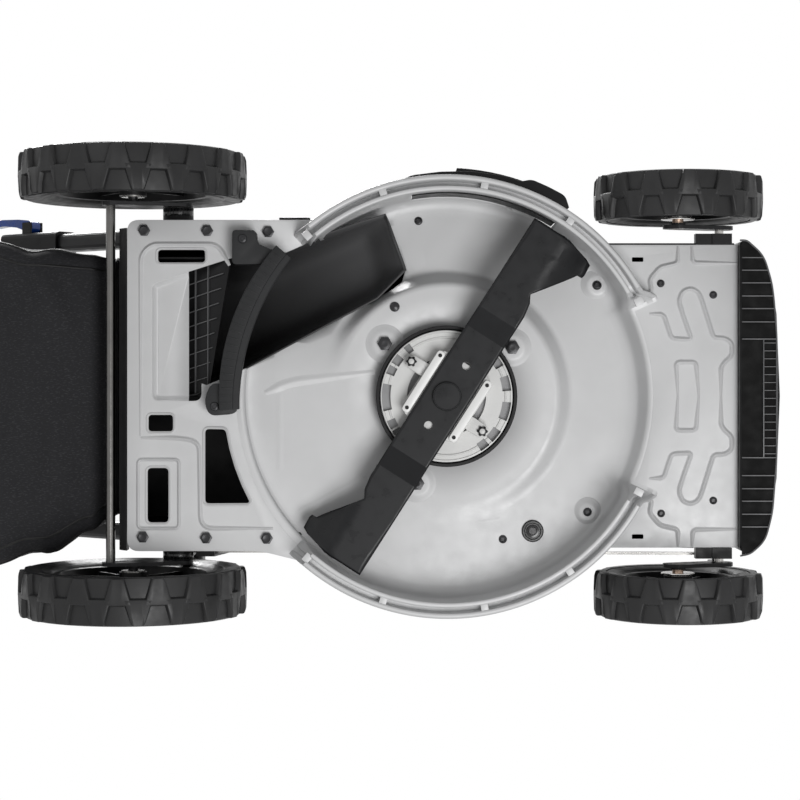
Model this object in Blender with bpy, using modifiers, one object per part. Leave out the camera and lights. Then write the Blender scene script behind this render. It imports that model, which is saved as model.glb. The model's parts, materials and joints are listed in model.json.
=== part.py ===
# Cordless rotary lawn mower: pressed steel deck with a volute chamber, four wheels on two
# parallel swing axles, motor and battery under a hood, folding telescopic handle and grass bag.
# Metres, +Z up, +X forward. The local frame starts on the blade's axis, at ground level.
from math import atan2, cos, degrees, pi, radians, sin, sqrt, tan

import bmesh
import bpy
from mathutils import Matrix, Vector

# Clearances
GAP = 0.0003
RUNNING_GAP = 0.0008
DOOR_GAP = 0.0015

# Reach of the machine before and behind the blade's axis
FRONT_REACH = 0.405
REAR_REACH = 1.2768
BLADE_AXIS_Y = 0.0150
BLADE_AXIS_X = (REAR_REACH - FRONT_REACH) / 2

# Deck pressing
SHEET = 0.0024
PLATE = 0.0030
RIM_Z = 0.055
WALL_R = 0.247
FLANGE_R = 0.264
HUB_HOLE_R = 0.030
PLATEAU_R = 0.138
STEP_RUN = 0.014
ROOF_Z = 0.122
ROOF_CORNER = (0.014, 0.004)
ROOF_CORNER_DROP = 0.010
VOLUTE_RISE = 0.036
VOLUTE_START = 113.0
VOLUTE_TOP = -110.0
VOLUTE_END = -172.0
FRONT_LIP_HALF = 25.0
CHUTE_LIP_MIDDLE = 198.0
CHUTE_LIP_HALF = 27.0
LIP_BLEND = 5.0
DECK_STEPS = 48

# Flat plates behind and before the chamber
REAR_PLATE_Z = 0.105
REAR_PLATE_X = -0.3886
REAR_PLATE_RIGHT = -0.1996
REAR_PLATE_LEFT = 0.2035
REAR_CORNER_R = 0.0145
APRON_Z = 0.115
APRON_X = 0.356
APRON_HALF = 0.185
APRON_MIDDLE_Y = BLADE_AXIS_Y

# Discharge duct
DUCT_WALL = 0.003
DUCT_FOOT = 0.004
DUCT_FRONT_ROOF_Z = 0.172
DUCT_MOUTH_ROOF_Z = 0.268
# Plan of the duct's front end in the chamber's roof, from right to left
DUCT_FRONT = ((-0.076, -0.206), (-0.050, -0.140), (-0.066, -0.114), (-0.256, -0.013))
WINDOW_X = -0.3163
DUCT_REAR_X = -0.3840
DUCT_MOUTH_RIGHT = -0.152
DUCT_MOUTH_LEFT = 0.024
RAMP_FRONT_Z = 0.112
RAMP_MOUTH_Z = 0.158
GUARD_INNER_R = 0.251
GUARD_WIDTH = 0.020
GUARD_LOW_Z = 0.066
GUARD_FROM = 182.0
GUARD_TO = 221.0
GUARD_DEPTH = 0.024
GUARD_TAB_UP = 0.012

# Side discharge port and its door
PORT_MIDDLE = -79.0
PORT_HALF = 21.0
PORT_LOW_Z = 0.074
PORT_HIGH_Z = 0.104
DOOR_THICK = 0.004
DOOR_PIN_R = 0.003
DOOR_PIN_OUT = 0.272
DOOR_PIN_Z = 0.120
DOOR_MARGIN = 3.0
DOOR_BELOW = 0.008
DOOR_ABOVE = 0.006
DOOR_SHELF = 0.004
DOOR_BARREL_HALF = 0.030
DOOR_BARREL_WALL = 0.003
DOOR_PIN_HALF = 0.040

# Grommet in the chamber's roof
GROMMET_ANGLE = 57.5
GROMMET_PLACE_R = 0.196
GROMMET_R = 0.0135
GROMMET_STEM_R = 0.0081
GROMMET_PLAY = 0.0009

# Blade group and motor
BLADE_LENGTH = 0.478
BLADE_WIDTH = 0.054
BLADE_THICK = 0.004
BLADE_Z = 0.082
BLADE_TIP_DROP = 0.012
BLADE_ANGLE = -57.4
BLADE_FLAT_HALF = 0.075
BLADE_STEP = 0.032
FIN_LENGTH = 0.095
FIN_RISE = 0.022
FIN_WIDTH = 0.030
BLADE_HOLE_R = 0.0053
BLADE_HOLE_OUT = 0.024
BLADE_BOLT_R = 0.0174
BLADE_BOLT_HEAD = (0.006, 0.009)
SHAFT_R = 0.0125
SHAFT_UP = 0.040
DISC_R = 0.080
DISC_Z = 0.101
DISC_THICK = 0.006
DISC_WINDOW = (0.020, 0.009)
CARRIER_HALF = (0.046, 0.047)
BAR_HALF = 0.040
BAR_OUT = (0.001, 0.013)
NUT_R = 0.0085
NUT_PLACE = (0.028, 0.055)
CARRIER_Z = BLADE_Z + BLADE_THICK / 2 + GAP
MOTOR_RING_R = 0.086
MOTOR_RING_INNER_R = 0.082
MOTOR_R = 0.096
MOTOR_TOP_Z = 0.205
MOTOR_FOOT = 0.012
MOTOR_EDGE = 0.012

# Hood, battery bay and lid
HOOD_WALL = 0.003
HOOD_MIDDLE_Y = BLADE_AXIS_Y
HOOD_REAR_X = -0.204
# Stations of the hood: x, half width at its foot, height of the crown, half width at the shoulder
HOOD_STATIONS = (
    (-0.204, 0.170, 0.291, 0.150),
    (-0.100, 0.168, 0.303, 0.128),
    (0.020, 0.168, 0.304, 0.112),
    (0.140, 0.172, 0.292, 0.112),
    (0.240, APRON_HALF - 0.001, 0.275, APRON_HALF - 0.069),
    (0.310, APRON_HALF + 0.001, 0.236, APRON_HALF - 0.069),
    (0.346, APRON_HALF - 0.005, 0.182, APRON_HALF - 0.075),
    (0.3555, APRON_HALF - 0.013, 0.134, APRON_HALF - 0.081),
)
HOOD_LOW_Z = 0.110
HOOD_LEAN = 0.006
HOOD_SHOULDER_RUN = 0.024
# Heights of a section's points, as shares of the way up to its crown
HOOD_RISE = (0.0, 0.45, 0.68, 0.87, 0.955, 0.99)
BAY_X = (0.098, 0.270)
BAY_Y = (-0.070, 0.098)
BAY_CORNER_R = 0.012
BAY_REACH = 0.060
HOOD_CLEAR_Z = 0.400
HOOD_DUCT_GAP = 0.001
LID_HINGE_UP = 0.002
BATTERY_SIZE = (0.130, 0.076, 0.092)
BATTERY_LOW_Z = 0.150
BATTERY_EDGE = 0.006
BATTERY_GRIP = (0.030, 0.010, 0.008)
BATTERY_BACK = 0.006
TRAY_SHARE = 0.72
TRAY_WALL = 0.003
TRAY_CLEARANCE = 0.001

# Front bumper
BUMPER_LOW_Z = 0.098
BUMPER_HIGH_Z = 0.190
BUMPER_WALL = 0.004
BUMPER_POCKETS_Y = (0.070, 0.100, 0.130, 0.160, 0.182)
BUMPER_RIB_HALF = 0.0012
BUMPER_ROOF = 0.020
BUMPER_OVER = 0.005
BUMPER_HALF = APRON_HALF + BUMPER_OVER
BUMPER_EDGE = 0.005

# Rear housing and door
HOUSING_BACK_X = -0.400
HOUSING_RIGHT = -0.170
HOUSING_LEFT = 0.176
HOUSING_TOP_Z = 0.288
HOUSING_WALL = 0.003
HOUSING_EDGE = 0.008
DOOR_ROD_R = 0.004
DOOR_EAR_DROP = 0.018
REAR_DOOR_THICK = 0.004
REAR_DOOR_LENGTH = 0.118
REAR_DOOR_REST = 8.0

# Wheels and their swing axles
REAR_WHEEL_X = -0.386
REAR_WHEEL_R = 0.140
REAR_WHEEL_WIDTH = 0.058
REAR_WHEEL_INNER_Y = 0.226
FRONT_WHEEL_X = 0.281
FRONT_WHEEL_R = 0.102
FRONT_WHEEL_WIDTH = 0.055
FRONT_WHEEL_OUT = 0.027
FRONT_WHEEL_INNER_Y = APRON_HALF + FRONT_WHEEL_OUT
ARM_RUN = 0.0535
ARM_DROP = 0.022
ARM_THICK = 0.0045
REAR_ARM_OUT = 0.2216
FRONT_ARM_RUN = 0.0205
FRONT_ARM_OUT = APRON_HALF + FRONT_ARM_RUN
FRONT_BRACKET_OUT = 0.0135
AXLE_PIN_R = 0.006
PIVOT_PIN_R = 0.0055
TIE_ROD_R = 0.0058
TIE_ROD_X = -0.0795
TIE_ROD_DROP = 0.0335
TIE_ROD_RELIEF = 0.0008
CRANK = 0.030
CRANK_HALF = 0.009
ARM_CORNER_R = 0.010
STUB_SHARE = 0.80
TIE_END_SHARE = 0.6
PIVOT_END_SHARE = 0.7
PIN_END = 0.004
# From the middle of each crank arm in to the middle of the link rod
LINK_REAR_IN = 0.0111
LINK_FRONT_IN = 0.0100
LINK_THICK = 0.0030
LINK_PIN_END = 0.002
LINK_PIN_R = 0.004
LINK_HALF = 0.006
LINK_END = 0.009
HUB_SHARE = 0.70
TYRE_STEPS = 32

# Height lever and its notched sector
LEVER_LENGTH = 0.165
LEVER_HALF = 0.008
SECTOR_Y = (0.2126, 0.2154)
SECTOR_R = (0.100, 0.126)
SECTOR_FROM = 55.0
SECTOR_TO = 122.0
HEIGHT_STEPS = 6
LEVER_THICK_HALF = 0.0018
NOTCH_R = 0.0032
NOTCH_MARGIN = 8.0
GRIP_EDGE = 0.005

# Handle
HANDLE_ANGLE = 38.0
HANDLE_HINGE_X = -0.395
HANDLE_HINGE_Z = 0.312
HANDLE_LENGTH = 1.100
TUBE_RIGHT_Y = -0.191
TUBE_LEFT_Y = 0.196
TUBE_HALF = (0.0145, 0.0120)
TUBE_CORNER = 0.007
LOWER_LENGTH = 0.250
UPPER_R = 0.0100
UPPER_START = 0.190
HANDLE_BEND_R = 0.060
HINGE_PIN_R = 0.0042
COLLAR_START = 0.150
COLLAR_TOP = 0.262
COLLAR_HALF = (0.0190, 0.0160)
CAM_Z = 0.218
CAM_OUT = 0.0255
CAM_R = 0.0085
CAM_PIN_R = 0.0025
CAM_LENGTH = 0.078
CAM_HALF = 0.0074
HINGE_HEAD_R = 0.0085
GRIP_R = 0.0150
BAIL_BELOW = 0.120
BAIL_Z = HANDLE_LENGTH - BAIL_BELOW
BAIL_R = 0.004
BAIL_REACH = (0.027, 0.1145)
BAIL_TRAVEL = 30.0
SWITCH_HALF = (0.018, 0.045)
SWITCH_HEIGHT = 0.070
SWITCH_LOW = HANDLE_LENGTH - SWITCH_HEIGHT
SWITCH_EDGE = 0.005
BUTTON_R = 0.009
BUTTON_TRAVEL = 0.004
BUTTON_UP = 0.022
BUTTON_DEPTH = 0.008
BUTTON_PROUD = 0.006

# Grass bag
BAG_FRONT_X = HOUSING_BACK_X - 0.0043
BAG_RING_R = 0.004
BAG_RING_INSET = 0.003
BAG_WALL = 0.004
# Stations: x, right side, left side, underside, top
BAG_STATIONS = (
    (-0.4086, -0.157, 0.163, 0.1685, 0.2665),
    (-0.4240, -0.159, 0.170, 0.1670, 0.2680),
    (-0.4420, -0.162, 0.184, 0.1500, 0.2710),
    (-0.5000, -0.168, 0.212, 0.1380, 0.2800),
    (-0.6000, -0.184, 0.236, 0.1340, 0.2980),
    (-0.7500, -0.190, 0.240, 0.1380, 0.3240),
    (-0.8700, -0.180, 0.226, 0.1500, 0.3440),
)
BAG_TOP_THICK = 0.006
BAG_TOP_LIFT = 0.0005
BAG_TOP_IN = 0.016
BAG_NECK = 0.15
BAG_SAG = 0.002
BAG_LOOP_X = (-0.620, -0.740)
BAG_LOOP_RISE = (0.048, 0.028)
BAG_LOOP_R = 0.008
BAG_RING_CORNER_R = 0.014

COLLECTION = "cordless_lawn_mower"
TOOLS = "shaping_tools"


# Scene set-up

def clear_scene():
    for obj in list(bpy.data.objects):
        bpy.data.objects.remove(obj, do_unlink=True)


def new_collection(name):
    made = bpy.data.collections.new(name)
    bpy.context.scene.collection.children.link(made)
    return made


def paint(name, colour, roughness, metallic=0.0):
    made = bpy.data.materials.new(name)
    made.use_nodes = True
    shader = made.node_tree.nodes["Principled BSDF"]
    shader.inputs["Base Color"].default_value = (*colour, 1.0)
    shader.inputs["Roughness"].default_value = roughness
    shader.inputs["Metallic"].default_value = metallic
    made.diffuse_color = (*colour, 1.0)
    return made


clear_scene()
parts = new_collection(COLLECTION)
tools = new_collection(TOOLS)
tools.hide_render = True

DECK_PAINT = paint("deck_paint", (0.62, 0.62, 0.62), 0.35, 0.2)
BLACK_PLASTIC = paint("black_plastic", (0.02, 0.02, 0.022), 0.45)
GREY_PLASTIC = paint("grey_plastic", (0.06, 0.06, 0.065), 0.5)
WHITE_PLASTIC = paint("white_plastic", (0.75, 0.75, 0.73), 0.4)
BLUE_PLASTIC = paint("blue_plastic", (0.01, 0.06, 0.35), 0.3)
TYRE_RUBBER = paint("tyre_rubber", (0.018, 0.018, 0.018), 0.6)
BARE_STEEL = paint("bare_steel", (0.45, 0.44, 0.43), 0.3, 1.0)
BLACK_STEEL = paint("black_steel", (0.03, 0.03, 0.032), 0.4, 0.6)
BAG_FABRIC = paint("bag_fabric", (0.03, 0.03, 0.033), 0.85)

root = bpy.data.objects.new("mower_frame", None)
root.location = (BLADE_AXIS_X, 0.0, 0.0)
parts.objects.link(root)


# Meshes

def finished(bm, smooth=True):
    mesh = bpy.data.meshes.new("shape")
    bmesh.ops.recalc_face_normals(bm, faces=bm.faces)
    closed = not any(edge.is_boundary for edge in bm.edges)
    if closed and bm.calc_volume(signed=True) < 0:
        bmesh.ops.reverse_faces(bm, faces=bm.faces)
    bm.to_mesh(mesh)
    bm.free()
    if smooth:
        mesh.shade_smooth()
        mesh.set_sharp_from_angle(angle=radians(35))
    return mesh


def box(low, high):
    bm = bmesh.new()
    bmesh.ops.create_cube(bm, size=1.0)
    size = [h - l for l, h in zip(low, high)]
    middle = [(h + l) / 2 for l, h in zip(low, high)]
    bmesh.ops.scale(bm, vec=size, verts=bm.verts)
    bmesh.ops.translate(bm, vec=middle, verts=bm.verts)
    return finished(bm)


def rod(radius, start, end, segments=16):
    """A round bar between two points."""
    start, end = Vector(start), Vector(end)
    along = end - start
    bm = bmesh.new()
    bmesh.ops.create_cone(
        bm, cap_ends=True, segments=segments, depth=along.length,
        radius1=radius, radius2=radius)
    turn = Vector((0, 0, 1)).rotation_difference(along.normalized()).to_matrix().to_4x4()
    bmesh.ops.transform(bm, matrix=Matrix.Translation((start + end) / 2) @ turn, verts=bm.verts)
    return finished(bm)


def rounded(points, radius, steps=3):
    """The outline with each corner turned into an arc. A point may carry its own radius third."""
    out = []
    for i, point in enumerate(points):
        here = Vector(point[:2])
        before = Vector(points[i - 1][:2]) - here
        after = Vector(points[(i + 1) % len(points)][:2]) - here
        wanted = point[2] if len(point) > 2 else radius
        half = before.angle(after) / 2
        if wanted <= 0 or half > radians(88):
            out.append(tuple(here))
            continue
        reach = min(wanted / tan(half), 0.45 * before.length, 0.45 * after.length)
        arc_r = reach * tan(half)
        inward = (before.normalized() + after.normalized()).normalized()
        centre = here + inward * (arc_r / sin(half))
        first = here + before.normalized() * reach - centre
        last = here + after.normalized() * reach - centre
        sweep = first.angle_signed(last)
        for k in range(steps + 1):
            turned = first.copy()
            turned.rotate(Matrix.Rotation(-sweep * k / steps, 2))
            out.append(tuple(centre + turned))
    return out


def offset(points, distance):
    """The closed outline moved outwards by distance, or inwards where it is negative."""
    count = len(points)
    area = sum(points[i - 1][0] * points[i][1] - points[i][0] * points[i - 1][1] for i in range(count))
    side = 1 if area > 0 else -1
    out = []
    for i in range(count):
        here = Vector(points[i][:2])
        one = (here - Vector(points[i - 1][:2])).normalized()
        two = (Vector(points[(i + 1) % count][:2]) - here).normalized()
        normal_one = Vector((one.y, -one.x)) * side
        normal_two = Vector((two.y, -two.x)) * side
        middle = (normal_one + normal_two).normalized()
        out.append(tuple(here + middle * (distance / max(0.5, middle.dot(normal_one)))))
    return out


def arc(centre, radius, start, end, steps):
    """Points of an arc, angles in degrees."""
    return [
        (centre[0] + radius * cos(radians(start + (end - start) * k / steps)),
         centre[1] + radius * sin(radians(start + (end - start) * k / steps)))
        for k in range(steps + 1)
    ]


AXES = {
    "Z": Matrix.Identity(4),
    "Y": Matrix(((1, 0, 0, 0), (0, 0, 1, 0), (0, 1, 0, 0), (0, 0, 0, 1))),
    "X": Matrix(((0, 0, 1, 0), (1, 0, 0, 0), (0, 1, 0, 0), (0, 0, 0, 1))),
}


def slab(outline, low, high, axis="Z"):
    """A flat outline with thickness: (x, y) along Z, (x, z) along Y or (y, z) along X."""
    curve = bpy.data.curves.new("outline", "CURVE")
    curve.dimensions = "2D"
    curve.fill_mode = "BOTH"
    curve.extrude = (high - low) / 2
    spline = curve.splines.new("POLY")
    spline.points.add(len(outline) - 1)
    for point, (u, v) in zip(spline.points, outline):
        point.co = (u, v, 0, 1)
    spline.use_cyclic_u = True
    return solid_of_curve(curve, AXES[axis] @ Matrix.Translation((0, 0, (low + high) / 2)))


def pipe(points, radius, segments=3, cyclic=False):
    """A bar along a route: bevel_resolution 3 gives ten sides."""
    curve = bpy.data.curves.new("route", "CURVE")
    curve.dimensions = "3D"
    curve.bevel_depth = radius
    curve.bevel_resolution = segments
    curve.use_fill_caps = not cyclic
    spline = curve.splines.new("POLY")
    spline.points.add(len(points) - 1)
    for point, place in zip(spline.points, points):
        point.co = (*place, 1)
    spline.use_cyclic_u = cyclic
    return solid_of_curve(curve, Matrix.Identity(4))


def solid_of_curve(curve, matrix):
    holder = bpy.data.objects.new("curve", curve)
    tools.objects.link(holder)
    graph = bpy.context.evaluated_depsgraph_get()
    mesh = bpy.data.meshes.new_from_object(holder.evaluated_get(graph))
    bpy.data.objects.remove(holder)
    bm = bmesh.new()
    bm.from_mesh(mesh)
    bmesh.ops.remove_doubles(bm, verts=bm.verts, dist=1e-6)
    bm.transform(matrix)
    return finished(bm)


def bend_route(points, radius, steps=5):
    """A 3D route with each inner corner turned into an arc."""
    route = [Vector(points[0])]
    for i in range(1, len(points) - 1):
        here = Vector(points[i])
        before = (Vector(points[i - 1]) - here)
        after = (Vector(points[i + 1]) - here)
        half = before.angle(after) / 2
        reach = min(radius / tan(half), 0.45 * before.length, 0.45 * after.length)
        one = here + before.normalized() * reach
        two = here + after.normalized() * reach
        for k in range(steps + 1):
            t = k / steps
            route.append(one * (1 - t) ** 2 + here * (2 * t * (1 - t)) + two * t ** 2)
    route.append(Vector(points[-1]))
    return route


def turned(profile, steps=36):
    """A closed turned solid about local Z, from (radius, z) points in order round the section."""
    bm = bmesh.new()
    corners = [bm.verts.new((r, 0, z)) for r, z in profile]
    for a, b in zip(corners, corners[1:] + corners[:1]):
        if a.co.x > 0 or b.co.x > 0:
            bm.edges.new((a, b))
    bmesh.ops.spin(bm, geom=bm.verts[:] + bm.edges[:], cent=(0, 0, 0), axis=(0, 0, 1),
                   angle=2 * pi, steps=steps, use_duplicate=False)
    bmesh.ops.remove_doubles(bm, verts=bm.verts, dist=1e-6)
    return finished(bm)


# Objects

def add(name, mesh, colour, place=(0, 0, 0), turn=(0, 0, 0), parent=None):
    obj = bpy.data.objects.new(name, mesh)
    obj.parent = parent or root
    obj.location = place
    obj.rotation_euler = turn
    obj.data.materials.append(colour)
    parts.objects.link(obj)
    return obj


def tool(mesh, place=(0, 0, 0), turn=(0, 0, 0), parent=None):
    obj = bpy.data.objects.new("tool", mesh)
    obj.parent = parent or root
    obj.location = place
    obj.rotation_euler = turn
    obj.hide_render = True
    obj.display_type = "WIRE"
    tools.objects.link(obj)
    return obj


def combine(obj, other, operation):
    step = obj.modifiers.new(operation.lower(), "BOOLEAN")
    step.operation = operation
    step.object = other
    step.solver = "EXACT"


def cut(obj, *meshes, **where):
    for mesh in meshes:
        combine(obj, tool(mesh, **where), "DIFFERENCE")


def join(obj, *meshes, **where):
    for mesh in meshes:
        combine(obj, tool(mesh, **where), "UNION")


def pivot(name, place, parent=None):
    """An empty on a joint's axis, which carries what turns or slides there."""
    empty = bpy.data.objects.new(name, None)
    empty.parent = parent or root
    empty.location = place
    parts.objects.link(empty)
    return empty


# Deck

def lerp(a, b, t):
    return a + (b - a) * t


def eased(t):
    t = min(1.0, max(0.0, t))
    return t * t * (3 - 2 * t)


def within(angle, middle, half, blend):
    """1 inside a sector, 0 outside it, and a ramp across its edges. Degrees."""
    away = abs((angle - middle + 180) % 360 - 180)
    return min(1.0, max(0.0, (half + blend - away) / blend))


def channel_z(angle):
    """The channel's roof climbs with the blade from the volute's start to the chute."""
    passed = (VOLUTE_START - angle) % 360
    climb = VOLUTE_START - VOLUTE_TOP
    fall = VOLUTE_TOP - VOLUTE_END
    if passed <= climb:
        return ROOF_Z + VOLUTE_RISE * eased(passed / climb)
    return ROOF_Z + VOLUTE_RISE * (1 - eased((passed - climb) / fall))


def rim_z(angle):
    """The wall's lower edge: it lifts to the apron in front and to the rear plate at the chute."""
    apron = within(angle, 0, FRONT_LIP_HALF, LIP_BLEND)
    chute = within(angle, CHUTE_LIP_MIDDLE, CHUTE_LIP_HALF, LIP_BLEND)
    low = lerp(RIM_Z, APRON_Z + PLATE / 2, apron)
    return lerp(low, REAR_PLATE_Z + PLATE / 2, chute)


def deck_section(angle):
    """(radius, z) points of the pressing's middle surface along one ray from the blade's axis."""
    roof = channel_z(angle)
    rim = rim_z(angle)
    drop = roof - rim
    return [
        (HUB_HOLE_R, ROOF_Z),
        (PLATEAU_R, ROOF_Z),
        (PLATEAU_R + STEP_RUN, roof),
        (WALL_R - ROOF_CORNER[0], roof),
        (WALL_R - ROOF_CORNER[1], roof - min(ROOF_CORNER[1], 0.06 * drop)),
        (WALL_R, roof - min(ROOF_CORNER_DROP, 0.3 * drop)),
        (WALL_R, rim),
        (FLANGE_R, rim),
    ]


def ray(radius, angle, z):
    return (radius * cos(radians(angle)), BLADE_AXIS_Y + radius * sin(radians(angle)), z)


def raised(section, distance):
    """An open section moved square to itself, up and outwards."""
    out = []
    for i, point in enumerate(section):
        one = Vector(section[max(i, 1)]) - Vector(section[max(i, 1) - 1])
        following = min(i + 1, len(section) - 1)
        two = Vector(section[following]) - Vector(section[following - 1])
        middle = (Vector((-one.y, one.x)).normalized() + Vector((-two.y, two.x)).normalized()).normalized()
        share = max(0.4, middle.dot(Vector((-one.y, one.x)).normalized()))
        out.append(tuple(Vector(point) + middle * (distance / share)))
    return out


def deck_rings(bm, rise=0.0):
    """Rings of vertices of the deck's surface, one list for each angle."""
    rows = []
    for k in range(DECK_STEPS):
        angle = 360 * k / DECK_STEPS
        section = raised(deck_section(angle), rise) if rise else deck_section(angle)
        rows.append([bm.verts.new(ray(r, angle, z)) for r, z in section])
    return rows


def skin(bm, rows, closed=True):
    count = len(rows) if closed else len(rows) - 1
    for k in range(count):
        row, following = rows[k], rows[(k + 1) % len(rows)]
        for a, b, c, d in zip(row, row[1:], following[1:], following):
            bm.faces.new((a, b, c, d))


def tunnel(bm, rows):
    """Faces between closed rows of vertices, with both ends capped."""
    for one, two in zip(rows, rows[1:]):
        for i in range(len(one)):
            j = (i + 1) % len(one)
            bm.faces.new((one[i], one[j], two[j], two[i]))
    bm.faces.new(rows[0])
    bm.faces.new(rows[-1])


def chamber_sheet():
    bm = bmesh.new()
    skin(bm, deck_rings(bm))
    bmesh.ops.reverse_faces(bm, faces=bm.faces)
    return finished(bm)


def rear_plate_outline():
    arc_right = degrees(atan2(REAR_PLATE_RIGHT - BLADE_AXIS_Y, -sqrt(
        WALL_R ** 2 - (REAR_PLATE_RIGHT - BLADE_AXIS_Y) ** 2))) + 360
    arc_left = degrees(atan2(REAR_PLATE_LEFT - BLADE_AXIS_Y, -sqrt(
        WALL_R ** 2 - (REAR_PLATE_LEFT - BLADE_AXIS_Y) ** 2)))
    corners = rounded([
        (0, REAR_PLATE_LEFT, 0),
        (REAR_PLATE_X, REAR_PLATE_LEFT, REAR_CORNER_R),
        (REAR_PLATE_X, REAR_PLATE_RIGHT, REAR_CORNER_R),
        (0, REAR_PLATE_RIGHT, 0)], 0)
    step = 360 / DECK_STEPS
    first = int(arc_left / step) + 1
    last = int(arc_right / step)
    hug = [ray(WALL_R, k * step, 0)[:2] for k in range(last, first - 1, -1)]
    start = ray(WALL_R, arc_left, 0)[:2]
    end = ray(WALL_R, arc_right, 0)[:2]
    return [start] + corners[1:-1] + [end] + hug


def apron_outline():
    right = APRON_MIDDLE_Y - APRON_HALF
    left = APRON_MIDDLE_Y + APRON_HALF
    arc_right = degrees(atan2(right - BLADE_AXIS_Y, sqrt(WALL_R ** 2 - (right - BLADE_AXIS_Y) ** 2)))
    arc_left = degrees(atan2(left - BLADE_AXIS_Y, sqrt(WALL_R ** 2 - (left - BLADE_AXIS_Y) ** 2)))
    step = 360 / DECK_STEPS
    hug = [ray(WALL_R, k * step, 0)[:2]
           for k in range(int(arc_left // step), int(arc_right // step), -1)]
    return [ray(WALL_R, arc_right, 0)[:2], (APRON_X, right), (APRON_X, left),
            ray(WALL_R, arc_left, 0)[:2]] + hug


def duct_outline():
    """Plan of the duct: it leaves the chamber along the blade's path and runs to the rear mouth."""
    return [
        *DUCT_FRONT,
        (-0.300, DUCT_MOUTH_LEFT - 0.012),
        (DUCT_REAR_X, DUCT_MOUTH_LEFT),
        (DUCT_REAR_X, DUCT_MOUTH_RIGHT),
        (-0.262, DUCT_MOUTH_RIGHT),
        (-0.195, -0.164),
    ]


def deck_opening():
    """Plan of the hole that the duct stands over, up to the window in the rear plate."""
    return [
        *DUCT_FRONT,
        (-0.292, 0.0014),
        (WINDOW_X, -0.0065),
        (WINDOW_X, -0.124),
        (-0.262, -0.1405),
        (-0.195, -0.160),
    ]


def plate_cutouts():
    """Plans of the slots in the rear plate: (outline, corner radius)."""
    def slot(x_low, x_high, y_low, y_high):
        return [(x_low, y_low), (x_high, y_low), (x_high, y_high), (x_low, y_high)]
    return [
        rounded(slot(-0.3511, -0.2937, -0.1632, -0.1477), 0.003),
        rounded(slot(-0.3627, -0.3327, 0.0376, 0.0577), 0.003),
        rounded(slot(-0.3638, -0.3382, 0.1022, 0.1686), 0.004),
        rounded([(-0.2937, 0.0548), (-0.2696, 0.0548), (-0.2394, 0.1460), (-0.2937, 0.1460)], 0.003),
    ]


def build_deck():
    deck = add("deck_shell", chamber_sheet(), DECK_PAINT)
    thick = deck.modifiers.new("sheet", "SOLIDIFY")
    thick.thickness = SHEET
    thick.offset = 0
    thick.use_even_offset = True
    opening = tool(slab(deck_opening(), RIM_Z + 0.03, ROOF_Z + VOLUTE_RISE + 0.03))
    combine(deck, opening, "DIFFERENCE")
    cut(deck, side_port(), grommet_hole())
    rear_plate = tool(slab(rear_plate_outline(), REAR_PLATE_Z, REAR_PLATE_Z + PLATE))
    combine(rear_plate, opening, "DIFFERENCE")
    for outline in plate_cutouts():
        cut(rear_plate, slab(outline, REAR_PLATE_Z - 0.01, REAR_PLATE_Z + 0.01))
    combine(deck, rear_plate, "UNION")
    join(deck, slab(apron_outline(), APRON_Z, APRON_Z + PLATE))
    return deck


def grommet_hole():
    x, y, _ = ray(GROMMET_PLACE_R, GROMMET_ANGLE, 0)
    roof = channel_z(GROMMET_ANGLE)
    return rod(GROMMET_STEM_R + GAP, (x, y, roof - 0.02), (x, y, roof + 0.02), 20)


def side_port():
    inner = arc((0, BLADE_AXIS_Y), WALL_R - 0.012, PORT_MIDDLE - PORT_HALF, PORT_MIDDLE + PORT_HALF, 8)
    outer = arc((0, BLADE_AXIS_Y), WALL_R + 0.012, PORT_MIDDLE + PORT_HALF, PORT_MIDDLE - PORT_HALF, 8)
    return slab(inner + outer, PORT_LOW_Z, PORT_HIGH_Z)


def deck_envelope():
    """Solid from the ground up to just over the deck, which trims what sits on it."""
    rise = SHEET / 2 + 2 * GAP
    bm = bmesh.new()
    rows = deck_rings(bm, rise)
    ground = []
    for k, row in enumerate(rows):
        angle = 360 * k / DECK_STEPS
        axis_top = bm.verts.new(ray(HUB_HOLE_R, angle, 0))
        foot = bm.verts.new(ray(FLANGE_R, angle, 0))
        ground.append((axis_top, foot))
    rows = [[ground[k][0]] + row + [ground[k][1], ground[k][0]] for k, row in enumerate(rows)]
    skin(bm, rows)
    return finished(bm)


def clear_of_deck(obj, plates=True):
    cut(obj, deck_envelope())
    if plates:
        grown = offset(rear_plate_outline(), 0.002)
        cut(obj, slab(grown, 0, REAR_PLATE_Z + PLATE + GAP),
            slab(offset(apron_outline(), 0.002), 0, APRON_Z + PLATE + GAP))


# Discharge duct and its guard

def sloped_prism(outline, low, roof_front, roof_rear, x_front, x_rear):
    """A plan outline raised to a roof that climbs from x_front to x_rear."""
    def roof(x):
        return lerp(roof_front, roof_rear, (x - x_front) / (x_rear - x_front))
    return wedge([(x, y, low) for x, y in outline], [(x, y, roof(x)) for x, y in outline])


def duct_block(grow=0.0):
    """The duct's outer shape, or a block that clears it all round by grow."""
    outline = duct_outline()
    return sloped_prism(offset(outline, DUCT_FOOT + grow), REAR_PLATE_Z - 0.02, DUCT_FRONT_ROOF_Z + grow,
                        DUCT_MOUTH_ROOF_Z + grow, max(x for x, y in outline), DUCT_REAR_X)


def build_duct():
    outline = duct_outline()
    x_front = max(x for x, y in outline)
    duct = add("discharge_duct", duct_block(), BLACK_PLASTIC)
    inner = offset(outline, DUCT_FOOT - DUCT_WALL)
    hollow = [(x if x > DUCT_REAR_X + 0.01 else x - 0.03, y) for x, y in inner]
    cut(duct, sloped_prism(hollow, REAR_PLATE_Z - 0.03, DUCT_FRONT_ROOF_Z - DUCT_WALL,
                           DUCT_MOUTH_ROOF_Z - DUCT_WALL, x_front, DUCT_REAR_X))
    join(duct, duct_ramp())
    clear_of_deck(duct)
    return duct


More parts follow.
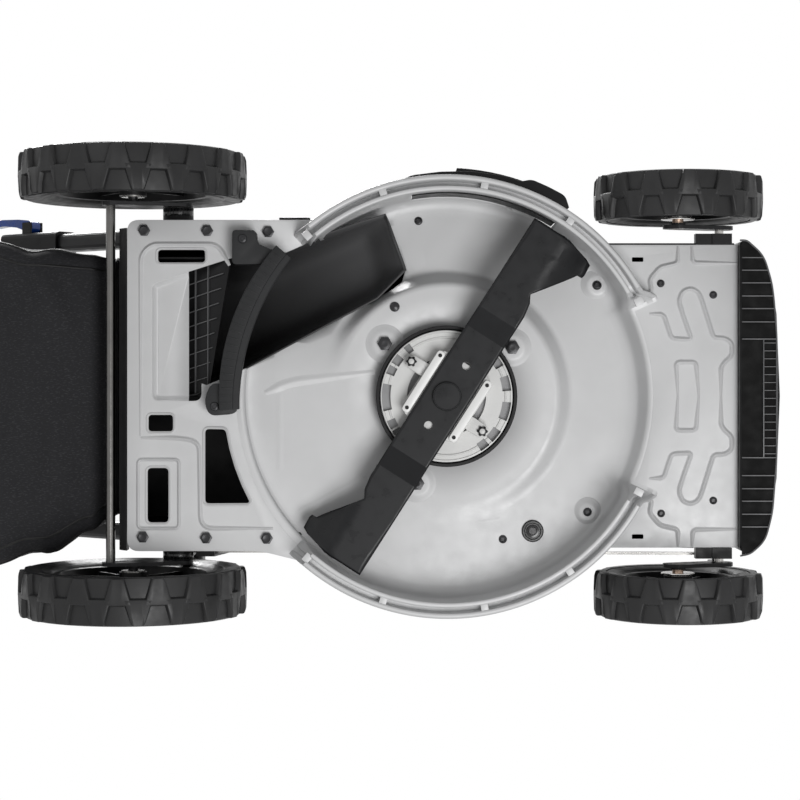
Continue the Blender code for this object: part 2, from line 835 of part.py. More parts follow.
def wedge(lower, upper):
    """A closed block between two outlines of equal length, given as points."""
    bm = bmesh.new()
    foot = [bm.verts.new(point) for point in lower]
    head = [bm.verts.new(point) for point in upper]
    bm.faces.new(foot)
    bm.faces.new(head)
    count = len(foot)
    for i in range(count):
        j = (i + 1) % count
        bm.faces.new((foot[i], foot[j], head[j], head[i]))
    return finished(bm)


def duct_ramp():
    """The floor behind the chamber, a plate that climbs to the mouth, seen through the window."""
    right = DUCT_MOUTH_RIGHT - DUCT_FOOT + DUCT_WALL / 2
    left = DUCT_MOUTH_LEFT + DUCT_FOOT - DUCT_WALL / 2
    plan = [(-0.2627, right), (-0.2883, left - 0.018), (DUCT_REAR_X, left), (DUCT_REAR_X, right)]
    upper = []
    for x, y in plan:
        share = (x - plan[0][0]) / (DUCT_REAR_X - plan[0][0])
        upper.append((x, y, lerp(RAMP_FRONT_Z, RAMP_MOUTH_Z, share)))
    return wedge([(x, y, z - DUCT_WALL) for x, y, z in upper], upper)


def build_guard():
    top = REAR_PLATE_Z - GAP
    strip = (arc((0, BLADE_AXIS_Y), GUARD_INNER_R, GUARD_FROM, GUARD_TO, 10)
             + arc((0, BLADE_AXIS_Y), GUARD_INNER_R + GUARD_WIDTH, GUARD_TO, GUARD_FROM, 10))
    guard = add("chute_guard", slab(strip, GUARD_LOW_Z, GUARD_LOW_Z + GUARD_DEPTH), GREY_PLASTIC)
    front_tab = rounded([(-0.285, 0.040), (-0.293, 0.010), (-0.281, 0.001), (-0.252, 0.004), (-0.252, 0.034)],
                        0.007)
    rear_tab = rounded([(-0.262, -0.186), (-0.232, -0.186), (-0.190, -0.152), (-0.210, -0.134),
                        (-0.262, -0.136)], 0.006)
    tab_low = GUARD_LOW_Z + GUARD_TAB_UP
    join(guard, slab(front_tab, tab_low, top), slab(rear_tab, tab_low, top))
    return guard


# Side discharge door

def build_side_door():
    centre = (0, BLADE_AXIS_Y)
    normal = Vector((cos(radians(PORT_MIDDLE)), sin(radians(PORT_MIDDLE)), 0))
    hinge_place = normal * DOOR_PIN_OUT + Vector((0, BLADE_AXIS_Y, DOOR_PIN_Z))
    hinge = pivot("side_door_hinge", hinge_place)
    half = PORT_HALF + DOOR_MARGIN
    inner_r = WALL_R + SHEET / 2 + 2 * GAP
    panel = (arc(centre, inner_r, PORT_MIDDLE - half, PORT_MIDDLE + half, 7)
             + arc(centre, inner_r + DOOR_THICK, PORT_MIDDLE + half, PORT_MIDDLE - half, 7))
    low = PORT_LOW_Z - DOOR_BELOW
    high = PORT_HIGH_Z + DOOR_ABOVE
    door = add("side_door", moved(slab(panel, low, high), -hinge_place), BLACK_PLASTIC, parent=hinge)
    along = PORT_HALF * 0.5
    shelf = (arc(centre, inner_r, PORT_MIDDLE - along, PORT_MIDDLE + along, 6)
             + arc(centre, DOOR_PIN_OUT + 0.006, PORT_MIDDLE + along * 0.8, PORT_MIDDLE - along * 0.8, 6))
    join(door, moved(slab(shelf, high - DOOR_SHELF, high), -hinge_place), parent=hinge)
    side = Vector((-normal.y, normal.x, 0))
    reach = DOOR_BARREL_HALF
    barrel_r = DOOR_PIN_R + DOOR_BARREL_WALL
    barrel = rod(barrel_r, -side * reach, side * reach)
    foot_low = high - DOOR_SHELF - DOOR_PIN_Z
    foot = oriented_box(side, normal, (-reach, reach), (-0.005, 0.003), (foot_low, -0.002))
    join(door, foot, barrel, parent=hinge)
    cut(door, rod(DOOR_PIN_R + GAP, -side * 0.05, side * 0.05), parent=hinge)
    pin_end = side * DOOR_PIN_HALF
    pin = add("side_door_pin", rod(DOOR_PIN_R, hinge_place - pin_end, hinge_place + pin_end), BLACK_STEEL)
    for end in (-1, 1):
        low_along, high_along = sorted((end * (reach + 0.0008), end * (reach + 0.006)))
        ear = oriented_box(side, normal, (low_along, high_along), (-0.045, 0.005), (-0.004, 0.006))
        join(pin, moved(ear, hinge_place))
    clear_of_deck(pin, plates=False)
    return door


def moved(mesh, by):
    mesh.transform(Matrix.Translation(by))
    return mesh


def oriented_box(side, normal, along, out, up):
    """A box with its faces along two level directions and upright."""
    mesh = box((along[0], out[0], up[0]), (along[1], out[1], up[1]))
    frame = Matrix((
        (side.x, normal.x, 0, 0),
        (side.y, normal.y, 0, 0),
        (0, 0, 1, 0),
        (0, 0, 0, 1)))
    mesh.transform(frame)
    if frame.determinant() < 0:
        mesh.flip_normals()
    return mesh


# Blade group under the deck and the motor over it

def build_blade():
    spin = pivot("blade_spin_axis", (0, BLADE_AXIS_Y, 0))
    half_w = BLADE_WIDTH / 2
    tip = BLADE_LENGTH / 2
    profile = [
        (-tip, -BLADE_TIP_DROP), (-BLADE_FLAT_HALF - BLADE_STEP, -BLADE_TIP_DROP),
        (-BLADE_FLAT_HALF, 0), (BLADE_FLAT_HALF, 0),
        (BLADE_FLAT_HALF + BLADE_STEP, -BLADE_TIP_DROP), (tip, -BLADE_TIP_DROP)]
    t = BLADE_THICK / 2
    section = [(x, z + t) for x, z in profile] + [(x, z - t) for x, z in reversed(profile)]
    blade = add("blade", slab(section, -half_w, half_w, "Y"), BLACK_STEEL,
                place=(0, 0, BLADE_Z), turn=(0, 0, radians(BLADE_ANGLE)), parent=spin)
    for side in (1, -1):
        join(blade, blade_fin(side, half_w, tip), parent=spin, place=(0, 0, BLADE_Z),
             turn=(0, 0, radians(BLADE_ANGLE)))
    cut(blade, rod(SHAFT_R + GAP, (0, 0, -0.02), (0, 0, 0.02)), parent=spin, place=(0, 0, BLADE_Z))
    for side in (1, -1):
        out = side * BLADE_HOLE_OUT
        cut(blade, rod(BLADE_HOLE_R, (out, 0, -0.02), (out, 0, 0.02), 12), parent=spin,
            place=(0, 0, BLADE_Z), turn=(0, 0, radians(BLADE_ANGLE + 90)))
    return spin


def blade_fin(side, half_w, tip):
    """The lifting fin behind each tip: it curls up from the blade's trailing edge."""
    bm = bmesh.new()
    t = BLADE_THICK
    start = tip - FIN_LENGTH
    rows = []
    for x, reach, rise in ((start - 0.018, 0.0, 0.0), (start, 0.7, 0.55), (start + 0.02, 1.0, 1.0),
                           (tip - 0.025, 1.0, 1.0), (tip, 0.25, 0.2)):
        root_y = half_w - 0.010
        edge_y = half_w + FIN_WIDTH * reach
        edge_z = FIN_RISE * rise - BLADE_TIP_DROP
        rows.append([
            bm.verts.new((side * x, side * root_y, -BLADE_TIP_DROP - t * 0.4)),
            bm.verts.new((side * x, side * edge_y, edge_z - t * 0.4)),
            bm.verts.new((side * x, side * edge_y, edge_z + t * 0.4)),
            bm.verts.new((side * x, side * root_y, -BLADE_TIP_DROP + t * 0.4))])
    tunnel(bm, rows)
    return finished(bm)


def build_blade_carriers(spin):
    """The shaft, the white fan disc, the carrier with its two bars, and the bolt under the blade."""
    shaft_top = ROOF_Z + SHAFT_UP
    shaft_low = BLADE_Z - BLADE_THICK / 2 - GAP
    add("motor_shaft", rod(SHAFT_R, (0, 0, shaft_low), (0, 0, shaft_top)), BARE_STEEL, parent=spin)
    disc = add("fan_disc", rod(DISC_R, (0, 0, DISC_Z), (0, 0, DISC_Z + DISC_THICK), 32), WHITE_PLASTIC,
               parent=spin)
    cut(disc, rod(SHAFT_R + GAP, (0, 0, 0), (0, 0, 0.2)), parent=spin)
    for k in range(6):
        window = (arc((0, 0), DISC_R - DISC_WINDOW[0], 60 * k + 8, 60 * k + 40, 4)
                  + arc((0, 0), DISC_R - DISC_WINDOW[1], 60 * k + 40, 60 * k + 8, 4))
        cut(disc, slab(window, DISC_Z - 0.01, DISC_Z + 0.02), parent=spin,
            turn=(0, 0, radians(BLADE_ANGLE)))
    half_x, half_y = CARRIER_HALF
    turn = (0, 0, radians(BLADE_ANGLE))
    carrier = add("blade_carrier", box((-half_x, -half_y, CARRIER_Z), (half_x, half_y, DISC_Z - GAP)),
                  WHITE_PLASTIC, parent=spin, turn=turn)
    for side in (1, -1):
        low, high = sorted(side * (BLADE_WIDTH / 2 + out) for out in BAR_OUT)
        bar = box((-BAR_HALF, low, BLADE_Z - 0.002), (BAR_HALF, high, DISC_Z - 0.002))
        x, y = side * NUT_PLACE[0], side * NUT_PLACE[1]
        nut = rod(NUT_R, (x, y, BLADE_Z + 0.003), (x, y, DISC_Z - GAP))
        near, far = sorted((side * 0.040, y))
        lug = box((x - 0.010, near, BLADE_Z + 0.008), (x + 0.010, far, DISC_Z - GAP))
        join(carrier, bar, nut, lug, parent=spin, turn=turn)
    cut(carrier, rod(SHAFT_R + GAP, (0, 0, 0), (0, 0, 0.2)), parent=spin)
    bolt_top = shaft_low - GAP
    rim, crown = (bolt_top - drop for drop in BLADE_BOLT_HEAD)
    bolt = add("blade_bolt", turned([(0.0, bolt_top), (BLADE_BOLT_R, bolt_top), (BLADE_BOLT_R, rim),
                                     (BLADE_BOLT_R - 0.005, crown), (0.0, crown)], 24),
               BLACK_STEEL, parent=spin)
    return bolt


def build_motor():
    base = ROOF_Z + SHEET / 2 + GAP
    foot_r = MOTOR_R + MOTOR_FOOT
    motor = add("motor_housing", turned([
        (0, base), (foot_r, base), (foot_r, base + 0.006), (MOTOR_R, base + 0.010),
        (MOTOR_R, MOTOR_TOP_Z - MOTOR_EDGE), (MOTOR_R - MOTOR_EDGE, MOTOR_TOP_Z), (0, MOTOR_TOP_Z)], 28),
        GREY_PLASTIC, place=(0, BLADE_AXIS_Y, 0))
    cut(motor, rod(SHAFT_R + RUNNING_GAP, (0, 0, base - 0.01), (0, 0, ROOF_Z + SHAFT_UP + RUNNING_GAP)),
        place=(0, BLADE_AXIS_Y, 0))
    ring_top = ROOF_Z - SHEET / 2 - GAP
    add("motor_ring", turned([
        (MOTOR_RING_INNER_R, DISC_Z - 0.002), (MOTOR_RING_R, DISC_Z - 0.002), (MOTOR_RING_R, ring_top),
        (MOTOR_RING_INNER_R, ring_top)], 32), BLACK_PLASTIC, place=(0, BLADE_AXIS_Y, 0))
    return motor


# Hood, battery bay and lid

def hood_section(station):
    """Points across the hood from its right foot over the crown to its left foot."""
    x, foot, crown, shoulder = station
    widths = (foot, foot, foot - HOOD_LEAN, shoulder + HOOD_SHOULDER_RUN, shoulder, shoulder / 2)
    shape = [(-width, lerp(HOOD_LOW_Z, crown, share)) for width, share in zip(widths, HOOD_RISE)]
    other = [(-y, z) for y, z in reversed(shape)]
    return [(x, HOOD_MIDDLE_Y + y, z) for y, z in shape + [(0, crown)] + other]


def hood_sheet():
    bm = bmesh.new()
    rows = [[bm.verts.new(p) for p in hood_section(s)] for s in HOOD_STATIONS]
    skin(bm, rows, closed=False)
    bm.faces.new(rows[-1])
    return finished(bm)


def hood_shell(name):
    obj = add(name, hood_sheet(), BLACK_PLASTIC)
    thick = obj.modifiers.new("wall", "SOLIDIFY")
    thick.thickness = HOOD_WALL
    thick.offset = -1
    thick.use_even_offset = True
    return obj


def crown_z(x):
    """Height of the hood's crown between its stations."""
    for (xa, _, za, _), (xb, _, zb, _) in zip(HOOD_STATIONS, HOOD_STATIONS[1:]):
        if xa <= x <= xb:
            return lerp(za, zb, (x - xa) / (xb - xa))
    return HOOD_STATIONS[-1][2]


def bay_outline(inset, rear_inset):
    """Plan of the bay's opening, or of the lid inside it, which lies closer along its hinge."""
    rear, front = BAY_X[0] + rear_inset, BAY_X[1] - inset
    right, left = BAY_Y[0] + inset, BAY_Y[1] - inset
    return rounded([(rear, right), (front, right), (front, left), (rear, left)], BAY_CORNER_R - inset)


def build_hood():
    hood = hood_shell("motor_cover")
    under_lid = crown_z(BAY_X[1]) - BAY_REACH
    cut(hood, slab(bay_outline(0, 0), under_lid, HOOD_CLEAR_Z), duct_block(HOOD_DUCT_GAP))
    clear_of_deck(hood)
    hinge = pivot("battery_lid_hinge", (BAY_X[0], 0, crown_z(BAY_X[0]) + LID_HINGE_UP))
    lid = hood_shell("battery_lid")
    lid.parent = hinge
    lid.location = -hinge.location
    combine(lid, tool(slab(bay_outline(DOOR_GAP, GAP), under_lid, HOOD_CLEAR_Z)), "INTERSECT")
    build_bay()
    return hood


def build_bay():
    """The open-topped tray in front of the motor and the battery that stands in it."""
    middle_x = sum(BAY_X) / 2 - BATTERY_BACK
    middle_y = sum(BAY_Y) / 2
    half_x = BATTERY_SIZE[0] / 2 + TRAY_CLEARANCE
    half_y = BATTERY_SIZE[1] / 2 + TRAY_CLEARANCE
    tray_low = APRON_Z + PLATE + GAP
    tray_top = BATTERY_LOW_Z + BATTERY_SIZE[2] * TRAY_SHARE
    tray = add("battery_tray", box(
        (middle_x - half_x - TRAY_WALL, middle_y - half_y - TRAY_WALL, tray_low),
        (middle_x + half_x + TRAY_WALL, middle_y + half_y + TRAY_WALL, tray_top)), GREY_PLASTIC)
    cut(tray, box((middle_x - half_x, middle_y - half_y, BATTERY_LOW_Z - GAP),
                  (middle_x + half_x, middle_y + half_y, tray_top + 0.02)))
    clear_of_deck(tray)
    bay = pivot("battery_slide", (middle_x, middle_y, BATTERY_LOW_Z))
    half = [size / 2 for size in BATTERY_SIZE]
    battery = add("battery_pack", box((-half[0], -half[1], 0), (half[0], half[1], BATTERY_SIZE[2])),
                  GREY_PLASTIC, parent=bay)
    edge = battery.modifiers.new("edges", "BEVEL")
    edge.width = BATTERY_EDGE
    edge.segments = 2
    grip_x, grip_y, grip_z = BATTERY_GRIP
    join(battery, box((-grip_x, -grip_y, BATTERY_SIZE[2] - grip_z / 2),
                      (grip_x, grip_y, BATTERY_SIZE[2] + grip_z)), parent=bay)
    return tray


# Front bumper

def bumper_outline():
    left = HOOD_MIDDLE_Y + BUMPER_HALF
    right = HOOD_MIDDLE_Y - BUMPER_HALF
    return [
        (APRON_X + GAP, right + 0.002), (APRON_X + 0.008, right), (APRON_X + 0.028, right + 0.018),
        (APRON_X + 0.038, right + 0.050), (FRONT_REACH - 0.004, right + 0.090), (FRONT_REACH, HOOD_MIDDLE_Y),
        (FRONT_REACH - 0.004, left - 0.090), (APRON_X + 0.038, left - 0.050), (APRON_X + 0.028, left - 0.018),
        (APRON_X + 0.008, left), (APRON_X + GAP, left - 0.002)]


def build_bumper():
    outline = bumper_outline()
    bumper = add("front_bumper", slab(outline, BUMPER_LOW_Z, BUMPER_HIGH_Z), BLACK_PLASTIC)
    edge = bumper.modifiers.new("edges", "BEVEL")
    edge.width = BUMPER_EDGE
    edge.segments = 2
    edge.limit_method = "ANGLE"
    edge.angle_limit = radians(50)
    # Open pockets from below, with ribs left between them
    inner = offset(outline, -BUMPER_WALL)
    pocket_low = BUMPER_LOW_Z - 0.01
    pocket_high = BUMPER_HIGH_Z - BUMPER_ROOF
    edges = sorted([HOOD_MIDDLE_Y + side * y for side in (1, -1) for y in BUMPER_POCKETS_Y])
    for low, high in zip(edges, edges[1:]):
        pocket = tool(slab(inner, pocket_low, pocket_high))
        limit = tool(box((APRON_X, low + BUMPER_RIB_HALF, 0.05),
                         (FRONT_REACH + 0.01, high - BUMPER_RIB_HALF, 0.3)))
        combine(pocket, limit, "INTERSECT")
        combine(bumper, pocket, "DIFFERENCE")
    return bumper


# Rear housing and door

def build_housing():
    front = HOOD_REAR_X - 0.0006
    low = REAR_PLATE_Z + PLATE + GAP
    housing = add("rear_housing", box((HOUSING_BACK_X, HOUSING_RIGHT, low - 0.012),
                                      (front, HOUSING_LEFT, HOUSING_TOP_Z)), BLACK_PLASTIC)
    edge = housing.modifiers.new("edges", "BEVEL")
    edge.width = HOUSING_EDGE
    edge.segments = 3
    edge.limit_method = "ANGLE"
    cut(housing, box((REAR_PLATE_X, HOUSING_RIGHT + HOUSING_WALL, low - 0.03),
                     (front + 0.05, HOUSING_LEFT - HOUSING_WALL, HOUSING_TOP_Z - HOUSING_WALL)))
    grow = DUCT_FOOT + 0.0008
    cut(housing, box((HOUSING_BACK_X - 0.01, DUCT_MOUTH_RIGHT - grow, RAMP_MOUTH_Z - 0.006),
                     (REAR_PLATE_X + 0.02, DUCT_MOUTH_LEFT + grow, DUCT_MOUTH_ROOF_Z + 0.001)))
    cut(housing, box((REAR_PLATE_X - 0.0006, -0.4, 0), (front + 0.05, 0.4, low)))
    sill_low = RIM_Z + 0.046
    join(housing, box((HOUSING_BACK_X, HOUSING_RIGHT - 0.020, sill_low),
                      (REAR_PLATE_X - 0.0005, HOUSING_LEFT + 0.027, sill_low + 0.026)))
    cut(housing, tie_rod_path())
    return housing


def tie_rod_path():
    """The room that the tie rod sweeps below its rest as the deck is raised."""
    centre = (REAR_WHEEL_X + ARM_RUN, REAR_WHEEL_R + ARM_DROP)
    place_r = sqrt(TIE_ROD_X ** 2 + TIE_ROD_DROP ** 2)
    near = place_r - TIE_ROD_R - TIE_ROD_RELIEF
    far = place_r + TIE_ROD_R + 0.010
    outline = arc(centre, near, 190, 245, 12) + arc(centre, far, 245, 190, 12)
    return slab(outline, HOUSING_RIGHT - 0.05, HOUSING_LEFT + 0.05, "Y")


def build_rear_door():
    """The spring flap over the mouth. With the bag hung it lies raised on the bag's lid."""
    place = (HOUSING_BACK_X - DOOR_ROD_R - 0.0075, 0, HOUSING_TOP_Z - 0.004)
    hinge = pivot("rear_door_hinge", place)
    right = HOUSING_RIGHT + 0.016
    left = HOUSING_LEFT - 0.016
    door_rod = add("rear_door_rod", rod(DOOR_ROD_R, (place[0], right - 0.007, place[2]),
                                        (place[0], left + 0.007, place[2]), 12), BARE_STEEL)
    for low, high in ((right - 0.006, right - 0.001), (left + 0.001, left + 0.006)):
        join(door_rod, box((place[0] - 0.006, low, HOUSING_TOP_Z - DOOR_EAR_DROP),
                           (HOUSING_BACK_X - GAP, high, place[2] + 0.005)))
    tilt = radians(REAR_DOOR_REST)
    barrel = DOOR_ROD_R + 0.003
    door = add("rear_door", rod(barrel, (0, right, 0), (0, left, 0), 16), BLACK_PLASTIC, parent=hinge)
    panel = box((-REAR_DOOR_LENGTH, right, barrel - REAR_DOOR_THICK), (0, left, barrel))
    lip = box((-REAR_DOOR_LENGTH, right, barrel - REAR_DOOR_THICK - 0.006),
              (-REAR_DOOR_LENGTH + 0.004, left, barrel))
    join(door, panel, lip, parent=hinge, turn=(0, tilt, 0))
    cut(door, rod(DOOR_ROD_R + GAP, (0, right - 0.01, 0), (0, left + 0.01, 0), 12), parent=hinge)
    return door


# Wheels and their swing axles

def tyre_section(radius, width, bead):
    half = width / 2
    return [
        (bead, -half * 0.78), (lerp(bead, radius, 0.45), -half), (radius - 0.012, -half * 0.98),
        (radius - 0.003, -half * 0.80), (radius, -half * 0.55),
        (radius, half * 0.55), (radius - 0.003, half * 0.80), (radius - 0.012, half * 0.98),
        (lerp(bead, radius, 0.45), half), (bead, half * 0.78)]


def hub_section(bead, width):
    """From the bore round the dished disc and the rim. The outer face looks to +Z."""
    half = width / 2
    edge = bead * cos(pi / TYRE_STEPS) - GAP
    bore = AXLE_PIN_R + GAP
    return [
        (bore, -half * 0.90), (bore + 0.010, -half * 0.90), (bore + 0.012, half * 0.05),
        (edge - 0.016, half * 0.25), (edge - 0.006, -half * 0.78), (edge, -half * 0.78),
        (edge, half * 0.78), (edge - 0.006, half * 0.78), (edge - 0.016, half * 0.50),
        (0.030, half * 0.42), (0.026, half * 0.74), (bore, half * 0.74)]


def build_wheel(name, axle, radius, width, side):
    bead = radius * HUB_SHARE
    turn = (radians(-90 * side), 0, 0)
    add(f"{name}_tyre", turned(tyre_section(radius, width, bead), TYRE_STEPS), TYRE_RUBBER, turn=turn,
        parent=axle)
    add(f"{name}_hub", turned(hub_section(bead, width), 18), BLACK_PLASTIC, turn=turn, parent=axle)


def build_arm(name, carrier, side, out, mid_y, wheel_inner, wheel_width, has_tie, crank_in):
    """A flat arm from its pivot back to the wheel's stub axle, with the pins welded to it.

    crank_in is how far inside it the link rod lies, or nothing where the arm has no crank.
    """
    y = mid_y + side * out
    low, high = y - ARM_THICK / 2, y + ARM_THICK / 2
    heel = -(ARM_RUN + 0.018)
    if has_tie:
        points = [(0.018, 0.013), (0.018, -0.013), (-ARM_RUN, -ARM_DROP - 0.018),
                  (TIE_ROD_X - 0.010, -TIE_ROD_DROP - 0.012), (TIE_ROD_X - 0.012, -TIE_ROD_DROP + 0.012),
                  (-ARM_RUN, -ARM_DROP + 0.022)]
    else:
        points = [(0.016, 0.012), (0.016, -0.013), (-ARM_RUN, -ARM_DROP - 0.014), (heel, -ARM_DROP - 0.006),
                  (heel, -ARM_DROP + 0.010), (-0.012, 0.012)]
    arm = add(name, slab(rounded(points, ARM_CORNER_R), low, high, "Y"), BLACK_STEEL, parent=carrier)
    inward, outward = (low, high) if side > 0 else (high, low)
    hub_out = mid_y + side * (wheel_inner + wheel_width * STUB_SHARE)
    stub = rod(AXLE_PIN_R, (-ARM_RUN, inward + side * 0.001, -ARM_DROP), (-ARM_RUN, hub_out, -ARM_DROP), 12)
    collar_end = outward + side * 0.0022
    collar = rod(AXLE_PIN_R + 0.004, (-ARM_RUN, y, -ARM_DROP), (-ARM_RUN, collar_end, -ARM_DROP), 12)
    join(arm, stub, collar, parent=carrier)
    if crank_in:
        pin_end = y - crank_in - LINK_THICK / 2 - LINK_PIN_END
        end = CRANK + CRANK_HALF
        crank = rounded([(CRANK_HALF, -0.004), (CRANK_HALF, end), (-CRANK_HALF, end), (-CRANK_HALF, -0.004)],
                        0.006)
        join(arm, slab(crank, low + 0.0004, high - 0.0004, "Y"),
             rod(LINK_PIN_R, (0, y, CRANK), (0, pin_end, CRANK), 12), parent=carrier)
    return arm


def build_rear_axle():
    place = (REAR_WHEEL_X + ARM_RUN, 0, REAR_WHEEL_R + ARM_DROP)
    swing = pivot("rear_axle_swing_axis", place)
    for name, side in (("right", -1), ("left", 1)):
        arm = build_arm(f"rear_arm_{name}", swing, side, REAR_ARM_OUT, 0, REAR_WHEEL_INNER_Y,
                        REAR_WHEEL_WIDTH, True, LINK_REAR_IN if side > 0 else 0)
        inner = side * (REAR_ARM_OUT - ARM_THICK / 2)
        bracket_end = side * 0.186
        join(arm, rod(PIVOT_PIN_R, (0, inner + side * 0.002, 0), (0, bracket_end, 0), 16), parent=swing)
        cut(arm, rod(TIE_ROD_R * TIE_END_SHARE + GAP, (TIE_ROD_X, inner - side * 0.02, -TIE_ROD_DROP),
                     (TIE_ROD_X, inner + side * 0.02, -TIE_ROD_DROP), 12), parent=swing)
        wheel = pivot(f"rear_wheel_{name}_axis",
                      (-ARM_RUN, side * (REAR_WHEEL_INNER_Y + REAR_WHEEL_WIDTH / 2), -ARM_DROP), swing)
        build_wheel(f"rear_wheel_{name}", wheel, REAR_WHEEL_R, REAR_WHEEL_WIDTH, side)
    reach = REAR_ARM_OUT - ARM_THICK / 2 - GAP
    bar = rod(TIE_ROD_R, (TIE_ROD_X, -reach, -TIE_ROD_DROP), (TIE_ROD_X, reach, -TIE_ROD_DROP), 20)
    tie = add("tie_rod", bar, BARE_STEEL, parent=swing)
    reach += PIN_END
    join(tie, rod(TIE_ROD_R * TIE_END_SHARE, (TIE_ROD_X, -reach, -TIE_ROD_DROP),
                  (TIE_ROD_X, reach, -TIE_ROD_DROP), 12), parent=swing)
    return swing


def build_front_axle():
    place = (FRONT_WHEEL_X + ARM_RUN, 0, FRONT_WHEEL_R + ARM_DROP)
    swing = pivot("front_axle_swing_axis", place)
    mid = BLADE_AXIS_Y
    for name, side in (("right", -1), ("left", 1)):
        arm = build_arm(f"front_arm_{name}", swing, side, FRONT_ARM_OUT, mid, FRONT_WHEEL_INNER_Y,
                        FRONT_WHEEL_WIDTH, False, LINK_FRONT_IN if side > 0 else 0)
        cut(arm, rod(PIVOT_PIN_R * PIVOT_END_SHARE + GAP, (0, mid + side * (FRONT_ARM_OUT - 0.025), 0),
                     (0, mid + side * (FRONT_ARM_OUT + 0.035), 0), 12),
            parent=swing)
        wheel_y = mid + side * (FRONT_WHEEL_INNER_Y + FRONT_WHEEL_WIDTH / 2)
        wheel = pivot(f"front_wheel_{name}_axis", (-ARM_RUN, wheel_y, -ARM_DROP), swing)
        build_wheel(f"front_wheel_{name}", wheel, FRONT_WHEEL_R, FRONT_WHEEL_WIDTH, side)
    reach = FRONT_ARM_OUT - ARM_THICK / 2 - GAP
    cross = add("front_pivot_rod", rod(PIVOT_PIN_R, (0, mid - reach, 0), (0, mid + reach, 0), 16), BARE_STEEL,
                parent=swing)
    reach += PIN_END
    thin = PIVOT_PIN_R * PIVOT_END_SHARE
    join(cross, rod(thin, (0, mid - reach, 0), (0, mid + reach, 0), 12), parent=swing)
    for side in (-1, 1):
        add_front_bracket(side, mid, place)
    cut(bpy.data.objects["motor_cover"], rod(PIVOT_PIN_R + 0.002, (place[0], -0.3, place[2]),
                                             (place[0], 0.3, place[2]), 16))
    return swing


def add_front_bracket(side, mid, place):
    """A block beside the apron that carries the front pivot rod."""
    name = "left" if side > 0 else "right"
    near = mid + side * (APRON_HALF + GAP)
    far = mid + side * (APRON_HALF + FRONT_BRACKET_OUT)
    low, high = sorted((near, far))
    bracket = add(f"front_bracket_{name}", box((place[0] - 0.010, low, place[2] - 0.012),
                                               (place[0] + 0.014, high, place[2] + 0.012)), BLACK_PLASTIC)
    join(bracket, box((place[0] - 0.030, low, place[2] - 0.010), (place[0] - 0.008, high, place[2] + 0.004)))
    foot_low, foot_high = sorted((mid + side * (APRON_HALF - 0.016), far - side * 0.001))
    join(bracket, box((place[0] - 0.009, foot_low, APRON_Z + PLATE + GAP),
                      (place[0] + 0.013, foot_high, place[2] + 0.011)))
    cut(bracket, rod(PIVOT_PIN_R + GAP, (place[0], near - side * 0.04, place[2]),
                     (place[0], far + side * 0.04, place[2]), 16))
    cut(bpy.data.objects["motor_cover"], box(
        (place[0] - 0.032, min(foot_low, far) - 0.001, place[2] - 0.02),
        (place[0] + 0.016, max(foot_high, far) + 0.001, place[2] + 0.014)))


def add_rear_bracket(side):
    """The bearing block bolted on the rear plate beside the housing."""
    name = "left" if side > 0 else "right"
    edge = REAR_PLATE_LEFT if side > 0 else REAR_PLATE_RIGHT
    x = REAR_WHEEL_X + ARM_RUN
    z = REAR_WHEEL_R + ARM_DROP
    inner = edge - side * 0.016
    outer = side * (REAR_ARM_OUT - ARM_THICK / 2 - 0.0008)
    low, high = sorted((inner, edge))
    bracket = add(f"rear_bracket_{name}", box((x - 0.020, low, REAR_PLATE_Z + PLATE + GAP),
                                              (x + 0.046, high, z + 0.004)), BLACK_PLASTIC)
    join(bracket, rod(0.019, (x, inner + side * 0.001, z), (x, outer, z), 28))
    cut(bracket, rod(PIVOT_PIN_R + GAP, (x, 0, z), (x, side * 0.25, z), 16))
    return bracket


def build_link():
    """The rod that keeps the two axles parallel, on the crank pins of the left arms."""
    rear = Vector((REAR_WHEEL_X + ARM_RUN, REAR_ARM_OUT - LINK_REAR_IN, REAR_WHEEL_R + ARM_DROP + CRANK))
    front = Vector((FRONT_WHEEL_X + ARM_RUN, BLADE_AXIS_Y + FRONT_ARM_OUT - LINK_FRONT_IN,
                    FRONT_WHEEL_R + ARM_DROP + CRANK))
    carrier = pivot("link_rod_axis", (rear.x, 0, rear.z))
    span = front - rear
    turn = (0, atan2(-span.z, span.xy.length), atan2(span.y, span.x))
    far = span.length + LINK_END
    outline = rounded([(-LINK_END, -LINK_HALF), (far, -LINK_HALF), (far, LINK_HALF), (-LINK_END, LINK_HALF)],
                      0.005)
    place = (0, rear.y, 0)
    link = add("link_rod", slab(outline, -LINK_THICK / 2, LINK_THICK / 2, "Y"), BARE_STEEL, place=place,
               turn=turn, parent=carrier)
    for x in (0, span.length):
        bore = rod(LINK_PIN_R + GAP, (x, -LINK_THICK, 0), (x, LINK_THICK, 0), 12)
        cut(link, bore, place=place, turn=turn, parent=carrier)
    return link


# Height lever and its notched sector

def build_height_lever(swing):
    y = REAR_ARM_OUT
    low_z = CRANK + CRANK_HALF + GAP
    bar = rounded([(-LEVER_HALF, low_z, 0), (LEVER_HALF, low_z, 0), (LEVER_HALF, low_z + LEVER_LENGTH),
                   (-LEVER_HALF, low_z + LEVER_LENGTH)], 0.006)
    add("height_lever", slab(bar, y - LEVER_THICK_HALF, y + LEVER_THICK_HALF, "Y"), BLACK_STEEL, parent=swing)
    top = low_z + LEVER_LENGTH
    grip = add("height_lever_grip", box((-0.013, y - 0.0075, top - 0.035), (0.013, y + 0.026, top + 0.012)),
               BLACK_PLASTIC, parent=swing)
    edge = grip.modifiers.new("edges", "BEVEL")
    edge.width = GRIP_EDGE
    edge.segments = 2
    half_x = LEVER_HALF + GAP
    half_y = LEVER_THICK_HALF + GAP
    cut(grip, box((-half_x, y - half_y, top - 0.05), (half_x, y + half_y, top + GAP)), parent=swing)
    build_sector()


